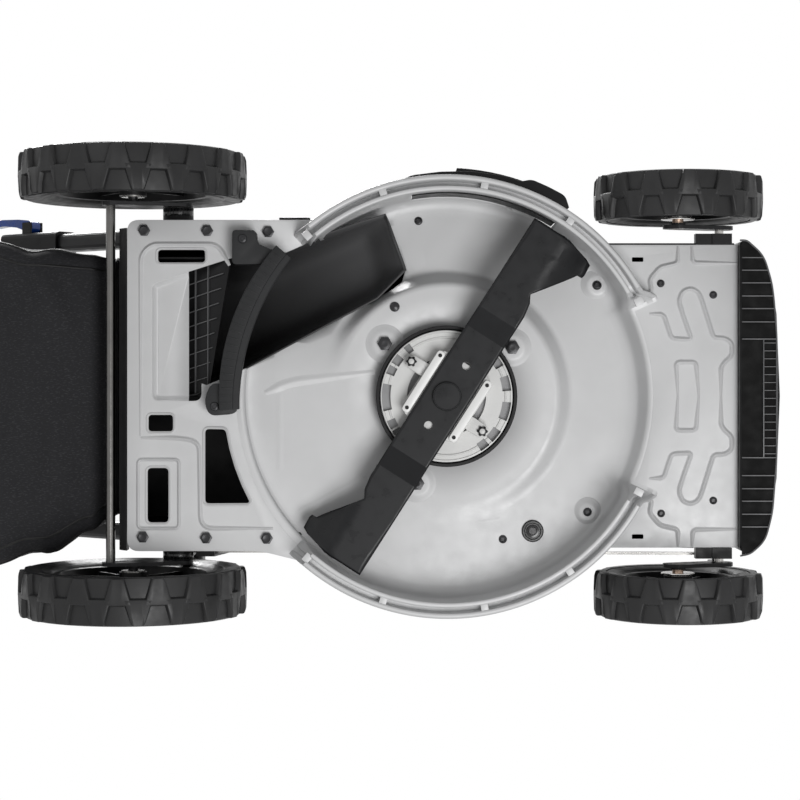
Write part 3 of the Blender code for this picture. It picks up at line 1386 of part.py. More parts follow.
def build_sector():
    pivot_x = REAR_WHEEL_X + ARM_RUN
    pivot_z = REAR_WHEEL_R + ARM_DROP
    centre = (pivot_x, pivot_z)
    band = (arc(centre, SECTOR_R[0], SECTOR_FROM, SECTOR_TO, 10)
            + arc(centre, SECTOR_R[1], SECTOR_TO, SECTOR_FROM, 10))
    sector = add("height_sector", slab(band, *SECTOR_Y, "Y"), BLACK_STEEL)
    foot_z = pivot_z + 0.004 + GAP
    leg = [(pivot_x + 0.0215, foot_z), (pivot_x + 0.0445, foot_z), (pivot_x + 0.0680, pivot_z + 0.096),
           (pivot_x + 0.0480, pivot_z + 0.106)]
    join(sector, slab(leg, *SECTOR_Y, "Y"),
         box((pivot_x + 0.0215, REAR_PLATE_LEFT - 0.014, foot_z),
             (pivot_x + 0.0445, SECTOR_Y[1], foot_z + 0.004)))
    for k in range(HEIGHT_STEPS):
        angle = radians(lerp(SECTOR_FROM + NOTCH_MARGIN, SECTOR_TO - NOTCH_MARGIN, k / (HEIGHT_STEPS - 1)))
        x = pivot_x + SECTOR_R[1] * cos(angle)
        z = pivot_z + SECTOR_R[1] * sin(angle)
        cut(sector, rod(NOTCH_R, (x, SECTOR_Y[0] - 0.01, z), (x, SECTOR_Y[1] + 0.01, z), 10))


# Handle

def build_handle():
    fold = pivot("handle_fold_axis", (HANDLE_HINGE_X, 0, HANDLE_HINGE_Z))
    fold.rotation_euler = (0, -radians(90 - HANDLE_ANGLE), 0)
    for name, side, y in (("right", -1, TUBE_RIGHT_Y), ("left", 1, TUBE_LEFT_Y)):
        build_lower_tube(name, y, fold)
        build_collar(name, side, y, fold)
        build_cam_lever(name, side, y, fold)
        build_handle_bracket(name, side, y)
    build_upper_handle(fold)
    return fold


def around(y, half_x, half_y):
    return [(-half_x, y - half_y), (half_x, y - half_y), (half_x, y + half_y), (-half_x, y + half_y)]


def tube_outline(y, grow=0.0):
    half_x = TUBE_HALF[0] + grow
    half_y = TUBE_HALF[1] + grow
    return rounded(around(y, half_x, half_y), TUBE_CORNER)


def build_lower_tube(name, y, fold):
    tube = add(f"lower_tube_{name}", slab(tube_outline(y), -0.016, LOWER_LENGTH), BLACK_STEEL, parent=fold)
    cut(tube, rod(UPPER_R + GAP, (0, y, 0.016), (0, y, LOWER_LENGTH + 0.01), 20),
        rod(HINGE_PIN_R + GAP, (0, y - 0.03, 0), (0, y + 0.03, 0), 16), parent=fold)


def build_collar(name, side, y, fold):
    half_x, half_y = COLLAR_HALF
    outline = rounded(around(y, half_x, half_y), TUBE_CORNER)
    collar = add(f"cam_collar_{name}", slab(outline, COLLAR_START, COLLAR_TOP), BLACK_PLASTIC, parent=fold)
    cam_y = y + side * CAM_OUT
    for end in (-1, 1):
        low, high = sorted((end * 0.0080, end * 0.0115))
        near, far = sorted((y + side * (half_y - 0.003), cam_y + side * 0.006))
        join(collar, box((low, near, CAM_Z - 0.008), (high, far, CAM_Z + 0.008)), parent=fold)
    join(collar, rod(CAM_PIN_R, (-0.010, cam_y, CAM_Z), (0.010, cam_y, CAM_Z), 12), parent=fold)
    cut(collar, slab(tube_outline(y, GAP), COLLAR_START - 0.01, LOWER_LENGTH + GAP),
        rod(UPPER_R + GAP, (0, y, LOWER_LENGTH - 0.01), (0, y, COLLAR_TOP + 0.01), 20), parent=fold)


def build_cam_lever(name, side, y, fold):
    """The blue clamp lever: a round cam on its pin and a bowed finger along the tube."""
    hinge = pivot(f"cam_lever_{name}_axis", (0, y + side * CAM_OUT, CAM_Z), fold)
    finger = [(-0.0060, 0.004), (0.0085, -0.004), (0.0110, 0.020), (0.0120, CAM_LENGTH * 0.7),
              (0.0080, CAM_LENGTH), (0.0010, CAM_LENGTH - 0.002), (0.0030, CAM_LENGTH * 0.65), (0.0, 0.024)]
    outline = rounded([(side * out, z) for out, z in finger], 0.003, 2)
    lever = add(f"cam_lever_{name}", slab(outline, -CAM_HALF, CAM_HALF, "X"), BLUE_PLASTIC, parent=hinge)
    join(lever, rod(CAM_R, (-CAM_HALF + 0.0002, 0, 0), (CAM_HALF - 0.0002, 0, 0), 20), parent=hinge)
    cut(lever, rod(CAM_PIN_R + GAP, (-0.02, 0, 0), (0.02, 0, 0), 12), parent=hinge)


def build_handle_bracket(name, side, y):
    """The upright steel plate beside the housing with the tube's hinge pin."""
    near = y - side * (TUBE_HALF[1] + 0.0005)
    far = near - side * 0.004
    low, high = sorted((near, far))
    foot = REAR_PLATE_Z + PLATE + GAP
    x, z = HANDLE_HINGE_X, HANDLE_HINGE_Z
    outline = rounded([(x + 0.045, foot, 0), (x + 0.010, foot, 0), (x + 0.010, foot + 0.030),
                       (x - 0.014, z - 0.010), (x - 0.012, z + 0.012), (x + 0.014, z + 0.012),
                       (x + 0.022, z - 0.020)], 0.008)
    bracket = add(f"handle_bracket_{name}", slab(outline, low, high, "Y"), BLACK_STEEL)
    tip = y + side * (TUBE_HALF[1] + 0.0035)
    join(bracket, rod(HINGE_PIN_R, (x, near - side * 0.002, z), (x, tip, z), 16),
         rod(HINGE_HEAD_R, (x, y + side * (TUBE_HALF[1] + 0.0006), z), (x, tip + side * 0.0006, z), 6))


def build_upper_handle(fold):
    slide = pivot("handle_extend_axis", (0, 0, 0), fold)
    legs = (TUBE_RIGHT_Y, TUBE_LEFT_Y)
    route = bend_route([(0, legs[0], UPPER_START), (0, legs[0], HANDLE_LENGTH), (0, legs[1], HANDLE_LENGTH),
                        (0, legs[1], UPPER_START)], HANDLE_BEND_R)
    handle = add("upper_handle", pipe(route, UPPER_R), BLACK_STEEL, parent=slide)
    grip_in = HANDLE_BEND_R + 0.012
    grip = add("handle_grip", rod(GRIP_R, (0, legs[0] + grip_in, HANDLE_LENGTH),
                                  (0, legs[1] - grip_in, HANDLE_LENGTH), 20), GREY_PLASTIC, parent=slide)
    cut(grip, rod(UPPER_R + GAP, (0, legs[0], HANDLE_LENGTH), (0, legs[1], HANDLE_LENGTH), 20), parent=slide)
    half_x, half_y = SWITCH_HALF
    switch = add("switch_box", box((-half_x, -half_y, SWITCH_LOW), (half_x, half_y, HANDLE_LENGTH - 0.002)),
                 BLACK_PLASTIC, parent=slide)
    edge = switch.modifiers.new("edges", "BEVEL")
    edge.width = SWITCH_EDGE
    edge.segments = 2
    cut(switch, rod(GRIP_R + GAP, (0, -0.1, HANDLE_LENGTH), (0, 0.1, HANDLE_LENGTH), 24), parent=slide)
    button_z = SWITCH_LOW + BUTTON_UP
    press = pivot("start_button_axis", (half_x, 0, button_z), slide)
    button = add("start_button", rod(BUTTON_R, (-BUTTON_DEPTH, 0, 0), (BUTTON_PROUD, 0, 0), 20), BLUE_PLASTIC,
                 parent=press)
    cut(switch, rod(BUTTON_R + GAP, (half_x - BUTTON_DEPTH - BUTTON_TRAVEL - 0.001, 0, button_z),
                    (half_x + 0.01, 0, button_z), 20), parent=slide)
    build_bail(slide, legs)
    for y, inward in ((legs[0], 1), (legs[1], -1)):
        cut(handle, rod(BAIL_R + GAP, (0, y + inward * 0.003, BAIL_Z), (0, y + inward * 0.02, BAIL_Z), 12),
            parent=slide)
    return button


def build_bail(slide, legs):
    hinge = pivot("bail_bar_axis", (0, 0, BAIL_Z), slide)
    reach = sqrt(BAIL_REACH[0] ** 2 + BAIL_REACH[1] ** 2)
    lean = atan2(BAIL_REACH[0], BAIL_REACH[1]) + radians(BAIL_TRAVEL)
    x, z = reach * sin(lean), reach * cos(lean)
    inset = UPPER_R + BAIL_R + 0.002
    right, left = legs[0] + inset, legs[1] - inset
    route = bend_route([(0, legs[0] + 0.0045, 0), (0, right, 0), (x, right, z), (x, left, z), (0, left, 0),
                        (0, legs[1] - 0.0045, 0)], 0.012, 3)
    add("bail_bar", pipe(route, BAIL_R, 2), BLACK_STEEL, parent=hinge)


# Grass bag

def bag_section(station, inset=0.0):
    x, right, left, low, high = station
    right, left = right + inset, left - inset
    low, high = low + inset, high - inset
    height = high - low
    neck = BAG_NECK * height
    drawn_in = ((0.020, low), (0.0, low + neck), (0.004, high - neck), (0.012, high))
    right_side = [(x, right + run, z) for run, z in drawn_in]
    left_side = [(x, left - run, z) for run, z in reversed(drawn_in)]
    return right_side + left_side + [(x, lerp(left, right, 0.5), low - BAG_SAG)]


def bag_loft(inset, front_shift=0.0, rear_shift=0.0):
    bm = bmesh.new()
    rows = []
    for k, station in enumerate(BAG_STATIONS):
        shift = front_shift if k == 0 else 0.0
        if k == len(BAG_STATIONS) - 1:
            shift = rear_shift
        moved_station = (station[0] + shift, *station[1:])
        rows.append([bm.verts.new(p) for p in bag_section(moved_station, inset)])
    tunnel(bm, rows)
    return finished(bm)


def build_bag():
    carrier = pivot("bag_slide_axis", (BAG_FRONT_X, 0, 0))
    home = Vector((-BAG_FRONT_X, 0, 0))
    fabric = add("bag_fabric", moved(bag_loft(0.0), home), BAG_FABRIC, parent=carrier)
    cut(fabric, moved(bag_loft(BAG_WALL, front_shift=0.02, rear_shift=BAG_WALL), home), parent=carrier)
    _, right, left, low, high = BAG_STATIONS[0]
    right, left = right + BAG_RING_INSET, left - BAG_RING_INSET
    low, high = low + BAG_RING_INSET, high - BAG_RING_INSET
    flat = rounded([(right, low), (left, low), (left, high), (right, high)], BAG_RING_CORNER_R)
    route = [(0, y, z) for y, z in flat]
    ring = add("bag_frame", pipe(route, BAG_RING_R, 2, cyclic=True), BLACK_STEEL, parent=carrier)
    build_bag_top(carrier, home)
    return ring


def bag_top_z(x):
    """Height of the fabric's top at x, which the lid lies on."""
    for a, b in zip(BAG_STATIONS, BAG_STATIONS[1:]):
        if b[0] <= x <= a[0]:
            return lerp(a[4], b[4], (x - a[0]) / (b[0] - a[0]))
    return BAG_STATIONS[-1][4]


def build_bag_top(carrier, home):
    """The moulded lid over the fabric, with the carrying loop."""
    bm = bmesh.new()
    rows = []
    for station in BAG_STATIONS[1:]:
        x, right, left, _, high = station
        low = high + BAG_TOP_LIFT
        y0, y1 = right + BAG_TOP_IN, left - BAG_TOP_IN
        rows.append([bm.verts.new(p) for p in (
            (x, y0, low), (x, y1, low), (x, y1 - 0.004, low + BAG_TOP_THICK),
            (x, y0 + 0.004, low + BAG_TOP_THICK))])
    tunnel(bm, rows)
    lid = add("bag_lid", moved(finished(bm), home), BLACK_PLASTIC, parent=carrier)
    y = BLADE_AXIS_Y
    (x0, x1), (rise0, rise1) = BAG_LOOP_X, BAG_LOOP_RISE
    foot0 = bag_top_z(x0) + BAG_TOP_THICK / 2
    foot1 = bag_top_z(x1) + BAG_TOP_THICK / 2
    route = bend_route([(x0, y, foot0), (x0, y, foot0 + rise0), (x1, y, foot1 + rise1), (x1, y, foot1)],
                       2 * BAG_LOOP_R, 4)
    join(lid, moved(pipe(route, BAG_LOOP_R, 2), home), parent=carrier)
    return lid


# Grommet in the chamber's roof

def build_grommet():
    place = ray(GROMMET_PLACE_R, GROMMET_ANGLE, 0)
    roof = channel_z(GROMMET_ANGLE)
    low, high = roof - SHEET / 2 - GROMMET_PLAY, roof + SHEET / 2 + GROMMET_PLAY
    r, stem = GROMMET_R, GROMMET_STEM_R
    top = high + 0.0025
    grommet = add("deck_grommet", turned([
        (0, low - 0.004), (r * 0.7, low - 0.004), (r, low - 0.002), (r, low), (stem, low),
        (stem, high), (r * 0.8, high), (r * 0.8, top), (0, top)], 20),
        BLACK_PLASTIC, place=place)
    clearing = rod(r * 0.8 + 0.001, (0, 0, roof), (0, 0, top + 0.001), 20)
    cut(bpy.data.objects["motor_cover"], clearing, place=place)
    return grommet


# Assembly

build_deck()
build_duct()
build_guard()
build_side_door()
blade_spin = build_blade()
build_blade_carriers(blade_spin)
build_motor()
build_hood()
build_bumper()
build_housing()
build_rear_door()
rear_swing = build_rear_axle()
build_front_axle()
for end in (-1, 1):
    add_rear_bracket(end)
build_link()
build_height_lever(rear_swing)
build_handle()
build_bag()
build_grommet()
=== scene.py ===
"""Cordless lawn mower, drawn over its CAD frame and seen from below."""

import json
from collections import namedtuple
from math import atan2, cos, degrees, hypot, pi, radians, sin

import bmesh
import bpy
from mathutils import Matrix, Vector


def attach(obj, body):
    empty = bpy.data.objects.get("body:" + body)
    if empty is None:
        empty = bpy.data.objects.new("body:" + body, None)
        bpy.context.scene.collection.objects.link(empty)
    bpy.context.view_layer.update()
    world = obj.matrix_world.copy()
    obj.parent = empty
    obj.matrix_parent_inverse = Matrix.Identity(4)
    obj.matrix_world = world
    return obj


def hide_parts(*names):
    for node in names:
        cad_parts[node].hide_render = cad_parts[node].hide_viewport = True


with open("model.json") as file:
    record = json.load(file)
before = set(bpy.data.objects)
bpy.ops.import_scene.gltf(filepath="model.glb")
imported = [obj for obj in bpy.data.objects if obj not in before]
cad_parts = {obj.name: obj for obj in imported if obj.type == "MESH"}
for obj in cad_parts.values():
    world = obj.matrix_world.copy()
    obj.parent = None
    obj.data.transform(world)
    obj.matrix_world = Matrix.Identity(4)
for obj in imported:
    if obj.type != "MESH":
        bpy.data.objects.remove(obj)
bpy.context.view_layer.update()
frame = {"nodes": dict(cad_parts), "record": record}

# Lengths are in metres, X from the blade's axis, Y from the rear track's middle, Z from the ground.
# AXIS_X and AXIS_Y are the blade axis's place in the frame's own X and in Y

AXIS_X = 0.4359
AXIS_Y = 0.015

# Camera and light

CAMERA_PLACE = (-0.0566, -0.0072, -2.32)
CAMERA_LENS = 89.7
CAMERA_SHIFT_Y = -0.0275
WORLD_LIGHT = 0.18
KEY_PLACE = (0.9, 1.1, -3.0)
KEY_POWER = 78.0
LIGHT_SIZE = 1.6
FILL_PLACE = (-1.8, -1.4, -1.6)
FILL_POWER = 5.0
TOP_PLACE = (-1.2, -2.2, 3.2)
TOP_POWER = 190.0
FLOOR_SIZE = 14
FLOOR_Z = -0.0004

# Deck

SHEET = 0.0024
PLATE = 0.003
RIM_Z = 0.055
ROOF_Z = 0.122
HUB_HOLE_R = 0.03
PLATEAU_R = 0.138
STEP_RUN = 0.014
WALL_R = 0.247
VOLUTE_RISE = 0.036
VOLUTE_START = 113.0
VOLUTE_TOP = -110.0
VOLUTE_END = -172.0
FRONT_LIP_HALF = 25.0
REAR_LIP_MIDDLE = 180.75
REAR_LIP_HALF = 45.5
LIP_BLEND = 5.0
DECK_STEPS = 240
LIP_R = 0.2505
GROOVE_R = (0.252, 0.2585)
GROOVE_DEPTH = 0.016
BEAD_R = 0.264
BEAD_SKIRT = 0.012
FLANGE_SPREAD = (0.006, 0.02)
PLATE_TURN = 0.009
FRONT_SLOPE = (0.013, 0.0012)
APRON_HUG_R = 0.2525
TAB_ANGLES = (26.5, 55.0, 80.0, 107.5, 131.0)
TAB_HALF = 0.0045
REAR_PLATE_Z = 0.105
REAR_PLATE_X = -0.3886
REAR_PLATE_RIGHT = -0.1996
REAR_PLATE_LEFT = 0.2035
REAR_CORNER_R = 0.0145
REAR_FLARE_X = -0.2256
REAR_FLARE_TIP = (-0.1831, 0.2141)
APRON_Z = 0.115
APRON_X = 0.356
APRON_HALF = 0.185
EMBOSS_WIDTH = 0.0068
EMBOSS_HEIGHT = 0.003
PORT_MIDDLE = -79.0
PORT_HALF = 21.0
PORT_LOW_Z = 0.074
PORT_HIGH_Z = 0.146
DOOR_TOP_Z = 0.0985
DOOR_LIP_Z = 0.096
DOOR_LIP_R = 0.253
DOOR_LIP_ANGLES = (-57.6, -100.8)
DOOR_LIP = ((-0.05, -0.25), (-0.042, -0.2533), (-0.008, -0.2575), (0.0285, -0.2581), (0.0686, -0.2527),
            (0.0904, -0.2454), (0.1026, -0.2483), (0.1232, -0.2393), (0.1439, -0.2283), (0.1485, -0.214))

# Plates behind and before the chamber. An oblong is its ends in X and in Y, and its corners' radius

OBLONG_SLOTS = ((-0.3511, -0.2937, -0.1632, -0.1477, 0.0045), (-0.3627, -0.3327, 0.0376, 0.0577, 0.0045),
                (-0.3638, -0.3382, 0.1022, 0.1686, 0.0055))
WEDGE_X = -0.2937
WEDGE_Y = (0.0548, 0.1454)
WEDGE_R = 0.2718
WEDGE_ANGLES = (171.5, 151.4)
WEDGE_CORNER_R = 0.005
POCKET = ((-0.3594, -0.121), (-0.35, -0.1252), (-0.3137, -0.1366), (-0.298, -0.1415), (-0.298, 0.0208),
          (-0.3594, 0.0208))
POCKET_CORNER_R = 0.01
POCKET_EDGE_X = -0.3137
POCKET_RISE = 13.0
POCKET_STEPS = ((-0.0006, 0.0004), (0.001, 0.001), (0.0035, 0.0042), (0.006, 0.0064), (0.0078, 0.007))
POCKET_SHEET = 0.0012
PLATE_BEADS = (
    ([(-0.3721, 0.0633), (-0.3721, -0.1568), (-0.3594, -0.1702), (-0.2779, -0.1702), (-0.264, -0.144)],
     0.012),
    ([(-0.3721, 0.0655), (-0.3271, 0.0655), (-0.3007, 0.0701), (-0.2991, 0.1757), (-0.2111, 0.1757)], 0.016),
)
LABEL_FRAME = (-0.3752, -0.3254, 0.0919, 0.1757, 0.006)
APRON_LINES = (
    [(0.2829, -0.169), (0.2829, -0.1476), (0.2609, -0.1427), (0.248, -0.1276), (0.2511, -0.1115),
     (0.234, -0.111)],
    [(0.2997, -0.169), (0.3012, -0.148), (0.3559, -0.1473)],
    [(0.248, -0.0856), (0.2654, -0.0849), (0.2752, -0.0554), (0.2997, -0.0541), (0.2902, -0.0805),
     (0.2838, -0.101), (0.2882, -0.113), (0.2984, -0.117), (0.3082, -0.112), (0.3125, -0.101),
     (0.3264, -0.0562), (0.34, -0.0562), (0.3488, -0.05), (0.3488, -0.0345), (0.34, -0.0267), (0.3354, -0.02),
     (0.3354, 0.015)],
    [(0.2829, 0.015), (0.2804, -0.0267), (0.3049, -0.0267), (0.3085, 0.015)],
)
APRON_LINE_R = 0.0055
APRON_SLOT_X = (0.2267, 0.2408)
APRON_SLOTS = ((-0.1547, -0.1491), (0.1837, 0.1893))
EDGE_STRIPS = (((0.1962, -0.1722, 0.119), (0.3525, -0.169, 0.129)),
               ((-0.204, -0.2028, 0.109), (-0.166, -0.199, 0.117)))

# Chamber's ridges as route, width and height, and its fastenings

CHAMBER_RIDGES = (
    ([(-0.2219, 0.0112), (-0.1913, -0.0023), (-0.0872, -0.0145)], 0.013, 0.0014),
    ([(-0.2036, 0.0136), (-0.2036, 0.1055)], 0.022, 0.003),
    ([(-0.1815, -0.039), (-0.1766, -0.0023)], 0.012, 0.0016),
    ([(-0.1827, 0.1569), (-0.0872, 0.1055)], 0.013, 0.003),
    ([(0.0414, 0.1692), (0.0659, 0.1655)], 0.011, 0.0014),
)
GROMMET = (0.1061, 0.1806)
RIVET = (-0.0631, -0.0944)
ROOF_BOLTS = ((-0.0752, -0.0492), (0.0806, -0.0446), (-0.0358, 0.1214))
REAR_BOLTS = ((-0.3677, -0.1865), (-0.291, -0.1863), (-0.2169, -0.1849), (-0.3693, 0.1862),
              (-0.2922, 0.1873), (-0.2185, 0.1877))
APRON_SCREWS = ((0.2619, -0.1227), (0.3261, -0.1087), (0.2624, 0.1583), (0.3261, 0.1425))
CHANNEL_SCREWS = ((-0.0337, -0.2023, 0.0), (0.1868, -0.122, 0.02), (0.1735, 0.1572, 0.018),
                  (0.0695, 0.1905, 0.0))
ROOF_BOLT_R = 0.009
REAR_BOLT_R = 0.0074
REAR_BOLT_HEIGHT = 0.0048
APRON_SCREW_R = 0.0048
CHANNEL_SCREW_R = 0.0052
BOSS_R = 0.025
BOSS_HEIGHT = 0.0036
BOLT_SINK = 0.0034
SCREW_SINK = 0.0032

# Chute

GUARD_R = (0.2468, 0.2738)
GUARD_LOW_Z = 0.0665
GUARD_FROM = 176.5
GUARD_TO = 221.5
GUARD_RIBS = 24
# LINER_SHADE_SPAN is where along the frame's X the duct's painted shade turns from dark to light
LINER_SHADE_SPAN = (0.17, 0.36)
CHUTE_RIGHT = ((-0.074, -0.206), (-0.11, -0.195), (-0.156, -0.179), (-0.195, -0.165), (-0.262, -0.153),
               (-0.32, -0.153), (-0.382, -0.153))
CHUTE_LEFT = ((-0.05, -0.14), (-0.085, -0.105), (-0.14, -0.076), (-0.2, -0.044), (-0.256, -0.014),
              (-0.305, 0.012), (-0.382, 0.023))
CHUTE_WINDOW = (
    (-0.0765, -0.211), (-0.0684, -0.197), (-0.0725, -0.1888), (-0.056, -0.1498), (-0.0499, -0.1415),
    (-0.054, -0.1251), (-0.0663, -0.115), (-0.256, -0.013), (-0.292, 0.0014), (-0.3163, -0.0065),
    (-0.3163, -0.1357), (-0.262, -0.153), (-0.195, -0.16))
GUARD_TABS = (
    ([(-0.2865, 0.0385), (-0.2925, 0.02), (-0.284, -0.002), (-0.256, 0.002), (-0.253, 0.036)], 0.01),
    ([(-0.2586, -0.1853), (-0.2304, -0.1853), (-0.229, -0.17), (-0.2148, -0.163), (-0.1925, -0.157),
      (-0.1945, -0.148), (-0.214, -0.144), (-0.2586, -0.144)], 0.005),
)
GUARD_SCREWS = ((-0.2459, -0.1746), (-0.2795, 0.0271))
GUARD_SCREW_R = 0.0055
LINER_FOOT = (0.112, 0.116)
LINER_TOP = (0.152, 0.262)
LINER_WALL = 0.002
RAMP_START = (-0.2627, 0, 0.1065)
RAMP_RUN = 0.1213
RAMP_RISE = 0.046
RAMP_PLAN = ((-0.1, -0.15), (0.0, -0.15), (-0.0275, 0.0), (-0.0275, 0.016), (-0.1, 0.016))
RAMP_BARS_X = (-0.046, -0.029)
RAMP_RIBS = 9
RAMP_RIB_PITCH = 0.0172
RAMP_RIB_REACH = 0.046
RAMP_RIB_TURN = -16.0
# A black strip in the gap at the duct's end: painted shadow
SHADOW_SLIT_PLAN = ((-0.0735, -0.1875), (-0.07, -0.189), (-0.055, -0.1503), (-0.058, -0.149))
SHADOW_SLIT_Z = (0.148, 0.153)

# Blade and hub

BLADE_Z = 0.082
BLADE_THICK = 0.004
BLADE_ANGLE = -57.4
BLADE_HALF = 0.027
BLADE_DROP = 0.012
BLADE_STEP = (0.086, 0.113)
FIN_RISE = 0.022
BLADE_HOLES = (0.0438, -0.0416)
BLADE_HOLE_R = 0.0053
BOLT_R = 0.0174
DISC_R = 0.08
DISC_Z = 0.101
DISC_THICK = 0.006
WINDOW_R = (0.0682, 0.0788)
FIN_EDGE = ((0.0, 0.027), (0.13, 0.0265), (0.147, 0.0236), (0.1568, 0.0182), (0.1705, 0.0279),
            (0.2079, 0.0536), (0.2082, 0.06), (0.2125, 0.0612), (0.2267, 0.0601), (0.2305, 0.052),
            (0.2369, 0.0224))
RIM_WINDOWS = ((-128.5, 3.2), (-143.8, 4.6), (-155.0, 4.2), (179.0, 12.5), (153.1, 4.2), (144.6, 2.6),
               (38.9, 6.0), (53.2, 4.6), (-34.5, 6.0), (14.0, 8.5), (-12.0, 7.0))
CRESCENTS = (212.6, 32.6)
CRESCENT_R = 0.048
CRESCENT_HALF = 33.0
DISC_BORE_R = 0.016
CARRIER_HALF = (0.046, 0.037)
BAR_HALF = 0.043
BAR_Y = (0.0285, 0.0385)
BAR_LOW_Z = BLADE_Z - 0.0025
BAR_RIVET = (0.0372, 0.0335)
NUT_PLACE = (0.0125, 0.0588)
NUT_R = 0.0058
STEM_Z = BLADE_Z + 0.006
STEM_PLAN = ((0.0035, 0.036), (0.0215, 0.036), (0.0205, 0.064), (0.0045, 0.064))

# Wheels and axles. A wheel's y is its distance from mid, r its radius and w its width, and lugs counts the
# blocks on each side of its tread

Wheel = namedtuple("Wheel", "x y r w lugs mid")
REAR_WHEEL = Wheel(-0.386, 0.255, 0.14, 0.058, 18, 0.0)
FRONT_WHEEL = Wheel(0.281, 0.2395, 0.102, 0.055, 14, AXIS_Y)
HUB_SHARE = 0.7
LUG_HEIGHT = 0.0052
LUG_JOIN = 0.0032
LUG_SHOULDER = 0.29
LUG_MIDDLE = 0.68
LUG_SLOPE = 0.002
TREAD_EDGE = 0.0012
SPOKES = 5
SPOKE_TURN = 0.3
SLEEVE = (0.281, 0.2129, 0.102)
WASHER = (0.281, 0.215, 0.102)
BUSH = (-0.3325, 0.2128, 0.162)

# Bumper

BUMPER_EDGE = ((0.3564, -0.1742), (0.3648, -0.1742), (0.3851, -0.156), (0.3948, -0.124),
               (0.3976, -0.1031), (0.4011, -0.0572), (0.4009, 0.0898), (0.3958, 0.1562),
               (0.3868, 0.1904), (0.3688, 0.2062), (0.3567, 0.2084))
BUMPER_RIBS_Y = (-0.1532, -0.1379, -0.1226, -0.1067, -0.0914, -0.0753, -0.0545, 0.0893, 0.111, 0.1269,
                 0.142, 0.1578, 0.1732)
BUMPER_WEB_X = 0.3834
BUMPER_LOW_Z = 0.098
BUMPER_RIB_DEPTHS = (0.0034, 0.0006)
BUMPER_WEB_SPAN = (-0.0545, 0.0893)
BUMPER_FINS = 15
BUMPER_BACK_X = 0.358

# Grass bag: its stations are x, right, left, low and high

BAG_STATIONS = (
    (-0.4086, -0.157, 0.163, 0.169, 0.2665),
    (-0.424, -0.159, 0.17, 0.1675, 0.268),
    (-0.442, -0.162, 0.184, 0.152, 0.271),
    (-0.5, -0.168, 0.212, 0.1385, 0.28),
    (-0.6, -0.184, 0.236, 0.134, 0.298),
    (-0.75, -0.19, 0.24, 0.138, 0.324),
    (-0.85, -0.184, 0.231, 0.144, 0.341),
    (-0.87, -0.18, 0.226, 0.15, 0.344),
)
BAG_RINGS = 110
BAG_POINTS = 96
BAG_SEAMS = (52, 60, 84, 92)
BAG_BACK = ((0.97, 0.004), (0.85, 0.008), (0.6, 0.011), (0.3, 0.013))
BAG_POWER = 0.34
CLOTH = 0.0012

# Finishes: colour, roughness, metal's share, specular, scale of the grain, its depth in micrometres,
# mottling, spread of the roughness and, where it isn't BROAD, the scale of the mottling

BROAD = 14.0
FINISHES = {
    "deck_paint": ((0.6, 0.602, 0.606), 0.44, 0.08, 0.32, 620.0, 40, 0.04, 0.06),
    "black_plastic": ((0.0065, 0.0065, 0.007), 0.4, 0.0, 0.18, 2600.0, 50, 0.2, 0.1),
    "chute_plastic": ((0.072, 0.072, 0.074), 0.5, 0.0, 0.2, 1500.0, 30, 0.1, 0.1),
    "grey_plastic": ((0.021, 0.0215, 0.0225), 0.5, 0.0, 0.22, 2400.0, 60, 0.14, 0.1),
    # A lighter copy of the black plastic, for ribs: painted highlight
    "rib_highlight_plastic": ((0.085, 0.085, 0.088), 0.46, 0.0, 0.5, 2400.0, 50, 0.15, 0.1),
    "white_plastic": ((0.68, 0.68, 0.67), 0.4, 0.0, 0.5, 2000.0, 40, 0.03, 0.1),
    "bar_white": ((0.86, 0.86, 0.85), 0.36, 0.0, 0.5, 2000.0, 30, 0.02, 0.1),
    "vent_grey": ((0.27, 0.27, 0.275), 0.5, 0.0, 0.5, 2000.0, 50, 0.1, 0.1),
    "blue_plastic": ((0.009, 0.085, 0.5), 0.24, 0.0, 0.5, 1500.0, 20, 0.08, 0.1),
    "tyre_rubber": ((0.02, 0.02, 0.0205), 0.42, 0.0, 0.25, 1100.0, 100, 0.3, 0.1),
    "rubber_black": ((0.007, 0.007, 0.007), 0.55, 0.0, 0.3, 1600.0, 100, 0.2, 0.1),
    # Near black and matt, for the sheet under the bumper: painted shade in its pockets
    "pocket_shade_black": ((0.003, 0.003, 0.003), 0.95, 0.0, 0.3, 1600.0, 100, 0.2, 0.1),
    "bare_steel": ((0.5, 0.49, 0.475), 0.27, 1.0, 0.5, 900.0, 2, 0.08, 0.04),
    "copper_steel": ((0.42, 0.31, 0.24), 0.3, 1.0, 0.5, 900.0, 20, 0.15, 0.1),
    "axle_steel": ((0.125, 0.122, 0.118), 0.22, 1.0, 0.5, 700.0, 2, 0.12, 0.04, 30.0),
    "dark_steel": ((0.026, 0.026, 0.028), 0.3, 0.35, 0.35, 900.0, 30, 0.15, 0.1),
    "black_gloss": ((0.006, 0.006, 0.0065), 0.2, 0.0, 0.5, 1200.0, 20, 0.2, 0.05),
    "black_steel": ((0.011, 0.011, 0.012), 0.38, 0.2, 0.35, 1700.0, 50, 0.2, 0.1),
    "blade_steel": ((0.0105, 0.0108, 0.0118), 0.34, 0.05, 0.2, 1500.0, 30, 0.16, 0.1),
}
BAG_COLOURS = ((0.017, 0.017, 0.019), (0.036, 0.036, 0.039))
# Painted shade in the duct: dark at its mouth, lighter at the chamber
LINER_SHADE_COLOURS = ((0.012, 0.012, 0.0125), (0.08, 0.08, 0.082))
NODE_LOOKS = {"tie_rod": "axle_steel"}

# Drawing. A corner's curve takes less than half of each side, and a cutter passes its plate on both sides

TO_FRAME = Matrix.Translation((AXIS_X, 0, 0))
SHORT_OF_SIDE = 0.48
CUT_REACH = 0.01
PLATE_EDGE = 0.0005
scene = bpy.context.scene


# Looks

